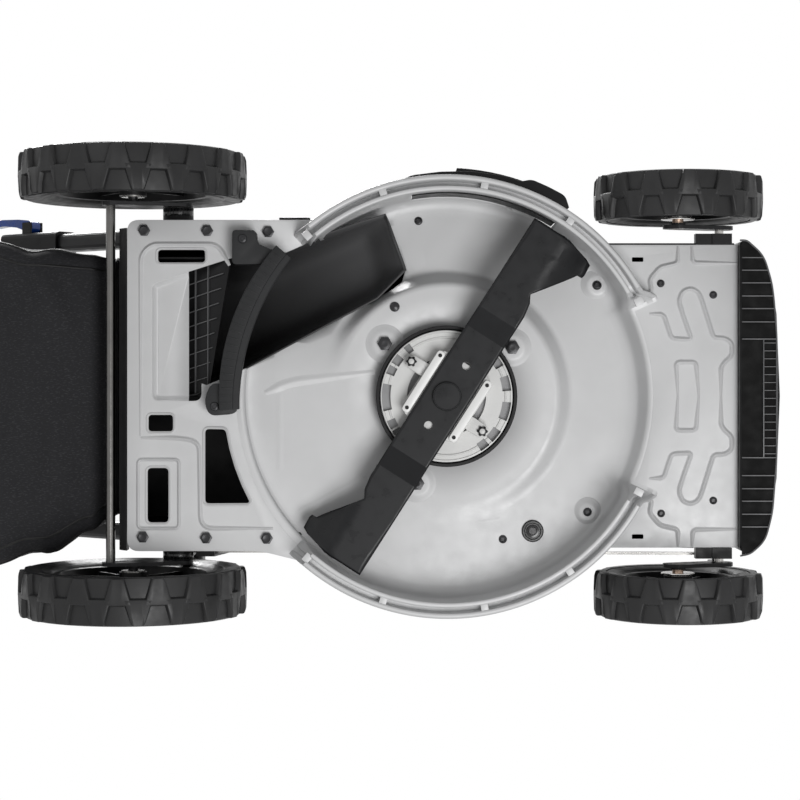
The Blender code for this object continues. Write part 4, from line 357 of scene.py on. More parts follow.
def finish(name, colour, roughness, metallic=0.0, specular=0.5):
    look = bpy.data.materials.new(name)
    look.use_nodes = True
    shader = look.node_tree.nodes["Principled BSDF"]
    shader.inputs["Base Color"].default_value = (*colour, 1)
    shader.inputs["Roughness"].default_value = roughness
    shader.inputs["Metallic"].default_value = metallic
    shader.inputs["Specular IOR Level"].default_value = specular
    return look


def node(look, kind, **values):
    made = look.node_tree.nodes.new("ShaderNode" + kind)
    for key, value in values.items():
        made.inputs[key.replace("_", " ")].default_value = value
    return made


def link(look, start, end):
    look.node_tree.links.new(start, end)


def noise(look, scale, detail=3.0, stretch=(1, 1, 1), turn=(0, 0, 0)):
    """Noise from 0 to 1 in the object's own metres."""
    place = node(look, "TexCoord")
    mapping = node(look, "Mapping", Scale=stretch, Rotation=turn)
    cloud = node(look, "TexNoise", Scale=scale, Detail=detail)
    link(look, place.outputs["Object"], mapping.inputs["Vector"])
    link(look, mapping.outputs["Vector"], cloud.inputs["Vector"])
    return cloud.outputs["Fac"]


def ranged(look, value, low, high, start=0.3, end=0.7):
    """The value taken from start..end to low..high."""
    step = node(look, "MapRange", From_Min=start, From_Max=end, To_Min=low, To_Max=high)
    link(look, value, step.inputs["Value"])
    return step.outputs["Result"]


def into(look, value, socket):
    link(look, value, look.node_tree.nodes["Principled BSDF"].inputs[socket])


def tinted(look, value, first, second):
    """The base colour goes from first to second with the value."""
    mix = look.node_tree.nodes.new("ShaderNodeMix")
    mix.data_type = "RGBA"
    colour_a = next(s for s in mix.inputs if s.name == "A" and s.type == "RGBA")
    colour_b = next(s for s in mix.inputs if s.name == "B" and s.type == "RGBA")
    colour_a.default_value = (*first, 1)
    colour_b.default_value = (*second, 1)
    result = next(s for s in mix.outputs if s.type == "RGBA")
    link(look, value, mix.inputs["Factor"])
    into(look, result, "Base Color")
    return result


def bumped(look, value, distance, strength=1.0):
    bump = node(look, "Bump", Distance=distance, Strength=strength)
    link(look, value, bump.inputs["Height"])
    into(look, bump.outputs["Normal"], "Normal")


def shade(colour, share):
    return tuple(c * share for c in colour)


def larger(look, one, two):
    step = look.node_tree.nodes.new("ShaderNodeMath")
    step.operation = "MAXIMUM"
    link(look, one, step.inputs[0])
    link(look, two, step.inputs[1])
    return step.outputs["Value"]


def surfaced(name, colour, roughness, metallic, specular, grain, depth, mottle, spread, broad=BROAD):
    """A finish with broad mottling, uneven roughness and a grain whose depth is in micrometres."""
    look = finish(name, colour, roughness, metallic, specular)
    clouds = ranged(look, noise(look, broad, 5.0), 0, 1)
    tinted(look, clouds, shade(colour, 1 - mottle), shade(colour, 1 + mottle))
    into(look, ranged(look, noise(look, broad * 5, 4.0), roughness - spread, roughness + spread), "Roughness")
    bumped(look, noise(look, grain, 2.0), depth / 1e6)
    return look


def shade_liner_to_mouth(look):
    """Painted shade: the duct's plastic is drawn dark towards its mouth, where the duct runs deep, and
    lighter at the chamber.
    """
    parts = node(look, "SeparateXYZ")
    link(look, node(look, "TexCoord").outputs["Object"], parts.inputs["Vector"])
    tinted(look, ranged(look, parts.outputs["X"], 0, 1, *LINER_SHADE_SPAN), *LINER_SHADE_COLOURS)


def woven(name, colour, fleck):
    """Plain weave with lighter flecks that lie along the diagonal."""
    look = finish(name, colour, 0.85, specular=0.3)
    place = node(look, "TexCoord")
    waves = [node(look, "TexWave", Scale=420.0, Distortion=1.5, Detail=1.0) for _ in range(2)]
    waves[1].bands_direction = "Y"
    for wave in waves:
        link(look, place.outputs["Object"], wave.inputs["Vector"])
    weave = larger(look, waves[0].outputs["Fac"], waves[1].outputs["Fac"])
    specks = noise(look, 260.0, 1.0, (1, 3.2, 1), (0, 0, radians(40)))
    tinted(look, ranged(look, specks, 0, 1, 0.56, 0.68), colour, fleck)
    bumped(look, weave, 0.00022, 0.8)
    return look


LOOKS = {name: surfaced(name, *row) for name, row in FINISHES.items()}
LOOKS["bag_fabric"] = woven("bag_cloth", *BAG_COLOURS)
shade_liner_to_mouth(LOOKS["chute_plastic"])


def paint_cad_nodes():
    for row in frame["record"]["subparts"]:
        obj = frame["nodes"][row["node"]]
        obj.data.materials.clear()
        obj.data.materials.append(LOOKS[NODE_LOOKS.get(row["node"], row["material_slot"])])


# Shapes

def moved_mesh(name, bm):
    """The bmesh as a mesh in the frame's own X. The bmesh is used up."""
    bmesh.ops.recalc_face_normals(bm, faces=bm.faces)
    bm.transform(TO_FRAME)
    mesh = bpy.data.meshes.new(name)
    bm.to_mesh(mesh)
    bm.free()
    return mesh


def add_object(name, data):
    obj = bpy.data.objects.new(name, data)
    scene.collection.objects.link(obj)
    return obj


def show(name, bm, look, body="deck", replaces=(), sharp=38.0):
    """A piece drawn in the frame described above."""
    mesh = moved_mesh(name, bm)
    mesh.shade_smooth()
    mesh.set_sharp_from_angle(angle=radians(sharp))
    mesh.materials.append(LOOKS[look])
    obj = add_object(name, mesh)
    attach(obj, body)
    if replaces:
        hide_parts(*replaces)
    return obj


def settled(obj):
    """The object's modifiers become part of its mesh."""
    graph = bpy.context.evaluated_depsgraph_get()
    mesh = bpy.data.meshes.new_from_object(obj.evaluated_get(graph))
    obj.modifiers.clear()
    obj.data = mesh
    return obj


def thickened(obj, thickness, offset):
    """A sheet gets its thickness. offset is 0 for both ways, 1 for outwards and -1 for inwards."""
    step = obj.modifiers.new("sheet", "SOLIDIFY")
    step.thickness = thickness
    step.offset = offset
    return settled(obj)


def through(outline, z, place=Matrix()):
    """A cutter that goes through a plate at z."""
    return prism(bmesh.new(), outline, z - CUT_REACH, z + CUT_REACH, place=place)


def carve(obj, *cutters):
    """Cuts closed bmeshes out of a piece."""
    for bm in cutters:
        tool = add_object("cutter", moved_mesh("cutter", bm))
        step = obj.modifiers.new("cut", "BOOLEAN")
        step.object = tool
        step.solver = "EXACT"
        settled(obj)
        bpy.data.objects.remove(tool)


def lerp(a, b, t):
    return a + (b - a) * t


def eased(t):
    t = min(1.0, max(0.0, t))
    return t * t * (3 - 2 * t)


def shares(steps):
    return [k / steps for k in range(steps + 1)]


def read_off(rows, place, ease=float):
    """The values at a place, read between rows that each start with their own place."""
    for one, two in zip(rows, rows[1:]):
        if min(one[0], two[0]) <= place <= max(one[0], two[0]):
            t = ease((place - one[0]) / (two[0] - one[0]))
            return [lerp(a, b, t) for a, b in zip(one[1:], two[1:])]
    return rows[-1][1:]


def arc(centre, radius, start, end, steps):
    """Points of a level arc, angles in degrees."""
    angles = [radians(lerp(start, end, t)) for t in shares(steps)]
    return [(centre[0] + radius * cos(angle), centre[1] + radius * sin(angle)) for angle in angles]


def curve(start, middle, end, steps):
    return [start * (1 - t) ** 2 + middle * (2 * t * (1 - t)) + end * t ** 2 for t in shares(steps)]


def round_route(points, radius, steps=6, closed=False):
    """A route with each corner turned into a curve that reaches radius along both sides."""
    points = [Vector(p) for p in points]
    out = []
    for i, here in enumerate(points):
        if not closed and i in (0, len(points) - 1):
            out.append(here)
            continue
        before = points[i - 1] - here
        after = points[(i + 1) % len(points)] - here
        reach = min(radius, SHORT_OF_SIDE * before.length, SHORT_OF_SIDE * after.length)
        out += curve(here + before.normalized() * reach, here, here + after.normalized() * reach, steps)
    return out


def soft(points, radius, closed=True):
    """A flat outline with its corners rounded."""
    return [tuple(p) for p in round_route(points, radius, closed=closed)]


def oblong(x_low, x_high, y_low, y_high, radius):
    return soft([(x_low, y_low), (x_high, y_low), (x_high, y_high), (x_low, y_high)], radius)


def inset(outline, distance):
    """A closed flat outline moved inwards, for either turning direction."""
    points = [Vector(p[:2]) for p in outline]
    area = sum(a.x * b.y - b.x * a.y for a, b in zip(points, points[1:] + points[:1]))
    sign = 1 if area > 0 else -1
    out = []
    for i, here in enumerate(points):
        one = (here - points[i - 1]).normalized()
        two = (points[(i + 1) % len(points)] - here).normalized()
        middle = Vector((-(one.y + two.y), one.x + two.x)) * sign
        if middle.length < 1e-6:
            middle = Vector((-one.y, one.x)) * sign
        middle.normalize()
        share = max(0.35, middle.dot(Vector((-one.y, one.x)) * sign))
        out.append(here + middle * (distance / share))
    return out


def rings(bm, rows, closed_rows=True, closed=False, caps=True):
    """Faces between rows of points of equal length."""
    made = [[bm.verts.new(p) for p in row] for row in rows]
    count = len(made) if closed else len(made) - 1
    for k in range(count):
        row, following = made[k], made[(k + 1) % len(made)]
        pairs = range(len(row)) if closed_rows else range(len(row) - 1)
        for i in pairs:
            j = (i + 1) % len(row)
            bm.faces.new((row[i], row[j], following[j], following[i]))
    if caps and closed_rows and not closed:
        bm.faces.new(made[0])
        bm.faces.new(list(reversed(made[-1])))
    return made


def prism(bm, outline, low, high, edge=0.0, place=Matrix()):
    """An upright prism with its edges eased by edge."""
    steps = [(0, low), (0, high)]
    if edge:
        steps = [(edge, low), (edge * 0.3, low + edge * 0.3), (0, low + edge), (0, high - edge),
                 (edge * 0.3, high - edge * 0.3), (edge, high)]
    rings(bm, [[place @ Vector((*p, z)) for p in (inset(outline, margin) if margin else outline)]
               for margin, z in steps])
    return bm


def block(bm, low, high, edge=0.0008, place=Matrix()):
    outline = [(low[0], low[1]), (high[0], low[1]), (high[0], high[1]), (low[0], high[1])]
    return prism(bm, outline, low[2], high[2], edge, place)


def lathe(bm, profile, place, steps=40):
    """A turned shape about local Z, from (radius, z) points in order round its section."""
    turns = [2 * pi * k / steps for k in range(steps)]
    profile = [(max(r, 1e-5), z) for r, z in profile]
    rings(bm, [[place @ Vector((r * cos(turn), r * sin(turn), z)) for r, z in profile] for turn in turns],
          closed=True)
    return bm


def ring_profile(inner, outer, low, high):
    return [(inner, low), (outer, low), (outer, high), (inner, high)]


def heading(route, i, closed):
    """The direction of a route at one of its points."""
    if closed:
        return (route[(i + 1) % len(route)] - route[i - 1]).normalized()
    return (route[min(i + 1, len(route) - 1)] - route[max(i - 1, 0)]).normalized()


def tube(bm, route, radius, sides=8, closed=False):
    """A round bar along a route."""
    up = Vector((0, 0, 1))
    angles = [2 * pi * k / sides for k in range(sides)]
    rows = []
    for i, here in enumerate(route):
        ahead = heading(route, i, closed)
        side = ahead.cross(up).normalized() if abs(ahead.dot(up)) < 0.99 else Vector((0, 1, 0))
        rise = side.cross(ahead).normalized()
        rows.append([here + (side * cos(angle) + rise * sin(angle)) * radius for angle in angles])
    rings(bm, rows, closed=closed)


def bead(bm, route, width, height, z, closed=False, radius=0.01):
    """A pressed ridge below a plate, along a flat route. z is a height, or gives it for x and y."""
    route = [Vector((*p, 0)) for p in soft(route, radius, closed)]
    rows = []
    for i, here in enumerate(route):
        ahead = heading(route, i, closed)
        side = Vector((-ahead.y, ahead.x, 0))
        share = 0.05 if not closed and i in (0, len(route) - 1) else 1.0
        row = []
        for t in shares(8):
            across = 2 * t - 1
            drop = height * share * (0.5 + 0.5 * cos(pi * across))
            spot = here + side * (across * width / 2 * max(share, 0.5))
            level = z(spot.x, spot.y) if callable(z) else z
            row.append(spot + Vector((0, 0, level - drop)))
        rows.append(row)
    rings(bm, rows, closed_rows=False, closed=closed, caps=False)


def at(x, y, z, axis="Z", sign=1):
    """A frame at a place whose local Z points along an axis."""
    turns = {
        "Z": Matrix.Identity(4) if sign > 0 else Matrix.Rotation(pi, 4, "X"),
        "Y": Matrix.Rotation(-sign * pi / 2, 4, "X"),
        "X": Matrix.Rotation(sign * pi / 2, 4, "Y"),
    }
    return Matrix.Translation((x, y, z)) @ turns[axis]


def hex_bolt(bm, place, radius, height=0.0055):
    """A hex bolt with a round face on its head. Local Z points out of the surface."""
    hexagon = [(radius * cos(k * pi / 3), radius * sin(k * pi / 3)) for k in range(6)]
    prism(bm, hexagon, -0.001, height, 0.0006, place)
    face = radius * 0.66
    profile = [(0, -0.001), (face, -0.001), (face, 0.0004), (face * 0.9, 0.0007), (face * 0.45, 0.0003),
               (0, 0.0003)]
    lathe(bm, [(r, height + z) for r, z in profile], place, 28)


def socket_screw(bm, place, radius):
    """A domed screw head with a round recess."""
    profile = [(0, -0.001), (1, -0.001), (1, 0.0006), (0.86, 0.002), (0.48, 0.0028), (0.45, 0.0008),
               (0, 0.0008)]
    lathe(bm, [(radius * share, z) for share, z in profile], place, 24)


def ray(radius, angle, z):
    return Vector((radius * cos(radians(angle)), AXIS_Y + radius * sin(radians(angle)), z))


def bearing(x, y):
    """The angle of a place round the blade's axis, in degrees."""
    return degrees(atan2(y - AXIS_Y, x))


def about_axis(angle):
    """A frame on the blade's axis, turned by degrees."""
    return Matrix.Translation((0, AXIS_Y, 0)) @ Matrix.Rotation(radians(angle), 4, "Z")


def everything(bm):
    return bm.verts[:] + bm.edges[:] + bm.faces[:]


# Deck

def within(angle, middle, half, blend):
    """1 inside a sector, 0 outside it, and a ramp across its edges. Degrees."""
    away = abs((angle - middle + 180) % 360 - 180)
    return eased((half + blend - away) / blend)


def channel_z(angle):
    """The channel's roof climbs with the blade from the volute's start to the chute."""
    passed = (VOLUTE_START - angle) % 360
    climb = VOLUTE_START - VOLUTE_TOP
    fall = VOLUTE_TOP - VOLUTE_END
    if passed <= climb:
        return ROOF_Z + VOLUTE_RISE * eased(passed / climb)
    return ROOF_Z + VOLUTE_RISE * (1 - eased((passed - climb) / fall))


def ceiling_z(x, y):
    """The chamber's underside above a place, short of its wall."""
    past_plateau = (hypot(x, y - AXIS_Y) - PLATEAU_R) / STEP_RUN
    return lerp(ROOF_Z, channel_z(bearing(x, y)), eased(past_plateau)) - SHEET / 2


def front_share(angle):
    return within(angle, 0, FRONT_LIP_HALF, LIP_BLEND)


def rim_z(angle):
    rear = within(angle, REAR_LIP_MIDDLE, REAR_LIP_HALF, LIP_BLEND)
    low = lerp(RIM_Z, APRON_Z + PLATE / 2, front_share(angle))
    return lerp(low, REAR_PLATE_Z + PLATE / 2, rear)


def soft_section(corners):
    """(radius, z) corners, each with its own rounding, as a fixed number of points."""
    out = [Vector(corners[0][:2])]
    for before, here, after in zip(corners, corners[1:], corners[2:]):
        spot = Vector(here[:2])
        one = Vector(before[:2]) - spot
        two = Vector(after[:2]) - spot
        out += curve(spot + one.normalized() * min(here[2], SHORT_OF_SIDE * one.length), spot,
                     spot + two.normalized() * min(here[2], SHORT_OF_SIDE * two.length), 4)
    return out + [Vector(corners[-1][:2])]


def deck_section(angle):
    roof = channel_z(angle)
    rim = rim_z(angle)
    front = front_share(angle)
    full = min(1.0, max(0.0, (REAR_PLATE_Z - rim) / (REAR_PLATE_Z - RIM_Z)))
    groove = rim + GROOVE_DEPTH * full
    skirt = rim + lerp(0.0025, BEAD_SKIRT, full)
    shoulder = 0.016 if full > 0.5 else 0.022
    spread = lerp(*FLANGE_SPREAD, front) * (1 - full)
    head = WALL_R - FRONT_SLOPE[0] * front
    foot = WALL_R + FRONT_SLOPE[1] * front
    turn = lerp(lerp(PLATE_TURN, 0.0012, full), 0.003, front)
    return soft_section([
        (HUB_HOLE_R, ROOF_Z, 0),
        (PLATEAU_R - 0.01, ROOF_Z, 0.005),
        (PLATEAU_R, ROOF_Z, 0.006),
        (PLATEAU_R + STEP_RUN, roof, 0.006),
        (head - shoulder - 0.02, roof, 0.01),
        (head, roof, shoulder),
        (lerp(head, foot, 0.6), lerp(roof, rim, 0.6), 0.004),
        (foot, rim, turn),
        (LIP_R + spread, rim, 0.001),
        (GROOVE_R[0] + spread, groove, 0.0012),
        (GROOVE_R[1] + spread, groove, 0.0012),
        (GROOVE_R[1] + spread + 0.0012, rim, 0.0016),
        (BEAD_R + spread, rim, 0.0022),
        (BEAD_R + spread, skirt, 0),
    ])


def holds(outline, x, y):
    """Whether a flat outline goes round a point."""
    inside = False
    for (x_a, y_a), (x_b, y_b) in zip(outline, list(outline[1:]) + [outline[0]]):
        if (y_a > y) != (y_b > y) and x < x_a + (y - y_a) * (x_b - x_a) / (y_b - y_a):
            inside = not inside
    return inside


def open_up(bm, planes, near, inside):
    """Splits the faces near a hole along its sides and takes out those inside it."""
    for place, normal in planes:
        faces = [f for f in bm.faces if near(f.calc_center_median())]
        edges = {e for f in faces for e in f.edges}
        verts = {v for f in faces for v in f.verts}
        bmesh.ops.bisect_plane(bm, geom=faces + list(edges) + list(verts), plane_co=place, plane_no=normal)
    gone = [f for f in bm.faces if inside(f.calc_center_median())]
    bmesh.ops.delete(bm, geom=gone, context="FACES")


def open_chute(bm):
    grown = inset(CHUTE_WINDOW, -0.03)
    planes = []
    for (x_a, y_a), (x_b, y_b) in zip(CHUTE_WINDOW, CHUTE_WINDOW[1:] + CHUTE_WINDOW[:1]):
        planes.append((Vector((x_a, y_a, 0)), Vector((y_b - y_a, x_a - x_b, 0))))
    above = RIM_Z + 0.03
    open_up(bm, planes, lambda c: c.z > above and holds(grown, c.x, c.y),
            lambda c: c.z > above and holds(CHUTE_WINDOW, c.x, c.y))


def open_side_port(bm):
    planes = [(Vector((0, 0, z)), Vector((0, 0, 1))) for z in (PORT_LOW_Z, PORT_HIGH_Z)]
    for angle in (PORT_MIDDLE - PORT_HALF, PORT_MIDDLE + PORT_HALF):
        planes.append((ray(0, 0, 0), Vector((-sin(radians(angle)), cos(radians(angle)), 0))))

    def in_sector(c, grow):
        away = abs(bearing(c.x, c.y) - PORT_MIDDLE)
        return away < PORT_HALF + grow and WALL_R - 0.022 < hypot(c.x, c.y - AXIS_Y) < WALL_R + 0.001

    open_up(bm, planes, lambda c: in_sector(c, 4),
            lambda c: in_sector(c, 0) and PORT_LOW_Z < c.z < PORT_HIGH_Z)


def draw_deck():
    bm = bmesh.new()
    angles = [360 * k / DECK_STEPS for k in range(DECK_STEPS)]
    rows = [[ray(p.x, angle, p.y) for p in deck_section(angle)] for angle in angles]
    rings(bm, rows, closed_rows=False, closed=True, caps=False)
    open_chute(bm)
    open_side_port(bm)
    thickened(show("deck", bm, "deck_paint", replaces=["deck_shell"], sharp=55), SHEET, 0)


def sector(inner, outer, low, high, steps):
    """Plan of a piece of a ring round the blade's axis, between two angles."""
    return arc((0, AXIS_Y), inner, low, high, steps) + arc((0, AXIS_Y), outer, high, low, steps)


def draw_side_port():
    """The port's fixed upper filler, inside the wall's thickness, and the door's outer lip."""
    half = PORT_HALF - 0.2
    filler = sector(WALL_R - 0.0006, WALL_R + 0.0008, PORT_MIDDLE - half, PORT_MIDDLE + half, 16)
    show("port_filler", prism(bmesh.new(), filler, DOOR_TOP_Z, PORT_HIGH_Z - 0.0002), "black_plastic")
    lip = soft(DOOR_LIP, 0.006, False) + arc((0, AXIS_Y), DOOR_LIP_R, *DOOR_LIP_ANGLES, 12)
    lip = prism(bmesh.new(), lip, DOOR_LIP_Z, DOOR_LIP_Z + 0.004, 0.0008)
    show("side_door_lip", lip, "black_plastic", "side_door")


# Plates

def degrees_of(offset, radius):
    """The angle whose chord offset this is, in degrees."""
    return degrees(atan2(offset, (radius ** 2 - offset ** 2) ** 0.5))


def rear_plate_outline():
    """The plate's straight sides, its flare into the lip on the left, and its edge round the chamber."""
    hug_r = WALL_R + PLATE_TURN
    corners = soft([REAR_FLARE_TIP, (REAR_FLARE_X, REAR_PLATE_LEFT), (REAR_PLATE_X, REAR_PLATE_LEFT),
                    (REAR_PLATE_X, REAR_PLATE_RIGHT), (-0.1, REAR_PLATE_RIGHT)], REAR_CORNER_R, False)
    end = 180 + degrees_of(AXIS_Y - REAR_PLATE_RIGHT, hug_r)
    return corners[:-1] + arc((0, AXIS_Y), hug_r, end, bearing(*REAR_FLARE_TIP), 60)


def apron_outline():
    half = degrees_of(APRON_HALF, APRON_HUG_R)
    hug = arc((0, AXIS_Y), APRON_HUG_R, half, -half, 50)
    return hug + [(APRON_X, AXIS_Y - APRON_HALF), (APRON_X, AXIS_Y + APRON_HALF)]


def wedge_hole():
    far = arc((0, AXIS_Y), WEDGE_R, *WEDGE_ANGLES, 4)
    return soft([(WEDGE_X, WEDGE_Y[0]), *far, (WEDGE_X, WEDGE_Y[1])], WEDGE_CORNER_R)


def pierced(name, outline, z, holes):
    """A flat plate of the deck with holes through it."""
    plate = show(name, prism(bmesh.new(), outline, z, z + PLATE, PLATE_EDGE), "deck_paint")
    carve(plate, *(through(hole, z) for hole in holes))


def draw_rear_plate():
    slots = [oblong(*slot) for slot in OBLONG_SLOTS]
    holes = [*slots, wedge_hole(), CHUTE_WINDOW, soft(POCKET, POCKET_CORNER_R)]
    pierced("rear_plate", rear_plate_outline(), REAR_PLATE_Z, holes)
    bm = bmesh.new()
    for route, radius in PLATE_BEADS:
        bead(bm, route, EMBOSS_WIDTH, EMBOSS_HEIGHT, REAR_PLATE_Z, radius=radius)
    bead(bm, oblong(*LABEL_FRAME), EMBOSS_WIDTH * 0.8, EMBOSS_HEIGHT, REAR_PLATE_Z, closed=True, radius=0.003)
    collars = [(slot, -0.0018, 0.0034, 0.0012) for slot in slots] + [(wedge_hole(), -0.002, 0.0038, 0.0014)]
    for hole, margin, width, height in collars:
        bead(bm, inset(hole, margin), width, height, REAR_PLATE_Z, closed=True, radius=0.001)
    show("rear_plate_ribs", bm, "deck_paint")


def draw_pocket():
    """The recess pressed into the plate along the chute's window: it is deepest away from the window."""
    bm = bmesh.new()
    outline = soft(POCKET, POCKET_CORNER_R)
    rows = []
    for margin, sink in POCKET_STEPS:
        rows.append([(p.x, p.y, REAR_PLATE_Z + sink * (1 - POCKET_RISE * (p.x - POCKET[0][0])))
                     for p in inset(outline, margin)])
    bm.faces.new(rings(bm, rows, caps=False)[-1])
    bmesh.ops.bisect_plane(bm, geom=everything(bm), plane_co=(POCKET_EDGE_X, 0, 0), plane_no=(1, 0, 0),
                           clear_outer=True)
    thickened(show("plate_pocket", bm, "deck_paint", sharp=12), POCKET_SHEET, 1)


def draw_apron():
    slots = [oblong(*APRON_SLOT_X, low, high, 0.0015) for low, high in APRON_SLOTS]
    pierced("front_apron", apron_outline(), APRON_Z, slots)
    strips = bmesh.new()
    for low, high in EDGE_STRIPS:
        block(strips, low, high)
    show("edge_strips", strips, "black_plastic")
    bm = bmesh.new()
    for line in APRON_LINES:
        for route in (line, [(x, 2 * AXIS_Y - y) for x, y in line]):
            bead(bm, route, EMBOSS_WIDTH, EMBOSS_HEIGHT, APRON_Z, radius=APRON_LINE_R)
    show("front_apron_ribs", bm, "deck_paint")


def boss(bm, x, y, z, radius, height=BOSS_HEIGHT):
    """A soft round dimple pressed out round a hole."""
    slope = [(lerp(radius, radius * 0.52, t), -height * eased(t)) for t in shares(8)[1:]]
    hole = radius * 0.3
    lathe(bm, [(radius, 0.0008), *slope, (hole, -height), (hole, 0.0008)], at(x, y, z), 40)


def draw_deck_fastenings():
    bosses = bmesh.new()
    bolts = bmesh.new()
    for route, width, height in CHAMBER_RIDGES:
        bead(bosses, route, width, height, ceiling_z, radius=0.02)
    for x, y in ROOF_BOLTS:
        boss(bosses, x, y, ROOF_Z - SHEET / 2, BOSS_R)
        hex_bolt(bolts, at(x, y, ROOF_Z - SHEET / 2 - BOLT_SINK, sign=-1), ROOF_BOLT_R)
    for x, y in REAR_BOLTS:
        hex_bolt(bolts, at(x, y, REAR_PLATE_Z, sign=-1), REAR_BOLT_R, REAR_BOLT_HEIGHT)
    for x, y in APRON_SCREWS:
        socket_screw(bolts, at(x, y, APRON_Z, sign=-1), APRON_SCREW_R)
    for x, y, ring in CHANNEL_SCREWS:
        z = channel_z(bearing(x, y)) - SHEET / 2
        if ring:
            boss(bosses, x, y, z, ring)
        socket_screw(bolts, at(x, y, z - SCREW_SINK * bool(ring), sign=-1), CHANNEL_SCREW_R)
    rivet = [(0, 0), (0.0062, 0), (0.0058, -0.0018), (0.003, -0.0032), (0, -0.0034)]
    lathe(bolts, rivet, at(*RIVET, ceiling_z(*RIVET)))
    show("deck_bosses", bosses, "deck_paint")
    show("deck_bolts", bolts, "dark_steel")


def draw_grommet():
    profile = [(0, -0.002), (0.0135, -0.002), (0.0135, 0.0016), (0.0122, 0.003), (0.0104, 0.003),
               (0.0094, 0.0018), (0.008, 0.0018), (0.0074, 0.004), (0.0052, 0.0044), (0.0044, 0.0024),
               (0, 0.0024)]
    grommet = lathe(bmesh.new(), profile, at(*GROMMET, ceiling_z(*GROMMET), sign=-1), 40)
    show("grommet", grommet, "black_gloss", "deck", ["deck_grommet"])


def draw_flange_tabs():
    tabs = bmesh.new()
    low = (LIP_R - 0.001, -TAB_HALF, RIM_Z + 0.0006)
    high = (GROOVE_R[1] + 0.002, TAB_HALF, RIM_Z + 0.006)
    for angle in TAB_ANGLES:
        for side in (-1, 1):
            block(tabs, low, high, 0.0008, about_axis(side * angle))
    show("flange_tabs", tabs, "deck_paint")


# Chute

def guard_section(share):
    """(radius, z) points across the guard, which narrows towards both ends."""
    low = GUARD_LOW_Z
    inner = GUARD_R[0] + 0.003 * (1 - sin(pi * share))
    outer = GUARD_R[1]
    return [
        (inner, low + 0.008), (inner, low + 0.0022), (inner + 0.0012, low + 0.0012),
        (lerp(inner, outer, 0.3), low + 0.0012), (lerp(inner, outer, 0.33), low), (outer - 0.002, low),
        (outer - 0.0005, low + 0.001), (outer, low + 0.003), (outer, low + 0.024),
        (outer - 0.006, low + 0.024), (outer - 0.006, low + 0.008)]


def draw_guard():
    bm = bmesh.new()
    rings(bm, [[ray(r, lerp(GUARD_FROM, GUARD_TO, share), z) for r, z in guard_section(share)]
               for share in shares(60)])
    low = (GUARD_R[0] + 0.0105, -0.0006, GUARD_LOW_Z - 0.0008)
    high = (GUARD_R[1] - 0.0014, 0.0006, GUARD_LOW_Z + 0.002)
    for share in shares(GUARD_RIBS)[1:-1]:
        block(bm, low, high, 0.0003, about_axis(lerp(GUARD_FROM, GUARD_TO, share)))
    tab_z = GUARD_LOW_Z + 0.01
    for outline, radius in GUARD_TABS:
        prism(bm, soft(outline, radius), tab_z, REAR_PLATE_Z - 0.0004, 0.001)
    show("chute_strip", bm, "grey_plastic", replaces=["chute_guard"])
    screws = bmesh.new()
    for x, y in GUARD_SCREWS:
        socket_screw(screws, at(x, y, tab_z, sign=-1), GUARD_SCREW_R)
    show("chute_screws", screws, "dark_steel")


def along(route, share):
    """The point at a share of a route's corners."""
    return Vector(read_off([(k, *p) for k, p in enumerate(route)], share * (len(route) - 1)))


def liner_row(share):
    """Points across the duct's vault at a share of its length."""
    right = along(CHUTE_RIGHT, share)
    left = along(CHUTE_LEFT, share)
    foot = lerp(*LINER_FOOT, share)
    top = lerp(*LINER_TOP, share ** 1.05) * min(1.0, 0.8 + 1.6 * share)
    row = []
    for across in shares(24):
        t = 2 * across - 1
        rise = (1 - abs(t) ** 4.0) ** 0.5
        spread = 0.5 + 0.5 * (abs(t) ** 0.82) * (1 if t > 0 else -1)
        flat = right.lerp(left, spread)
        row.append(Vector((flat.x, flat.y, lerp(foot, top, rise))))
    return row


def draw_chute_liner():
    """The smooth inner face of the duct: a vault that climbs from the chamber to the mouth."""
    bm = bmesh.new()
    rows = [liner_row(share) for share in shares(36)]
    rings(bm, rows, closed_rows=False, caps=False)
    bm.faces.new([bm.verts.new(p) for p in rows[0]])
    liner = show("chute_liner", bm, "chute_plastic", "deck", ["discharge_duct"], 60)
    thickened(liner, LINER_WALL, 1)


def draw_chute_ramp():
    """The ribbed floor behind the chamber, seen through the rear plate's window, and a black strip that
    paints the shadow in the gap between the duct's end and the deck's lip.
    """
    tilt = Matrix.Translation(RAMP_START) @ Matrix.Rotation(atan2(RAMP_RISE, RAMP_RUN), 4, "Y")
    show("chute_ramp", prism(bmesh.new(), RAMP_PLAN, -0.001, 0.001, 0.0003, tilt), "black_plastic")
    ribs = bmesh.new()
    for x in RAMP_BARS_X:
        block(ribs, (x - 0.0006, -0.148, -0.0045), (x + 0.0006, 0.012, 0), 0.0002, tilt)
    for k in range(RAMP_RIBS):
        start = Matrix.Translation((-0.05, RAMP_RIB_PITCH * k - 0.14, 0))
        skew = tilt @ start @ Matrix.Rotation(radians(RAMP_RIB_TURN), 4, "Z")
        end = RAMP_RIB_REACH - 0.003 * k
        block(ribs, (-RAMP_RIB_REACH, -0.0005, -0.004), (end, 0.0005, 0), 0.0002, skew)
    # The ribs are drawn lighter than the black ramp: painted highlight on the ribs
    show("chute_ramp_ribs", ribs, "rib_highlight_plastic")
    # Painted shadow: a black strip in the gap between the duct's end and the deck's lip
    show("chute_shadow_slit", prism(bmesh.new(), SHADOW_SLIT_PLAN, *SHADOW_SLIT_Z), "rubber_black")


# Blade and hub

def blade_level(u, v):
    """Height of the blade's middle surface below or above its flat centre."""
    drop = -BLADE_DROP * min(1.0, max(0.0, (abs(u) - BLADE_STEP[0]) / (BLADE_STEP[1] - BLADE_STEP[0])))
    lift = FIN_RISE * eased((v - 0.017) / 0.044) * eased((abs(u) - 0.15) / 0.045)
    return drop + lift


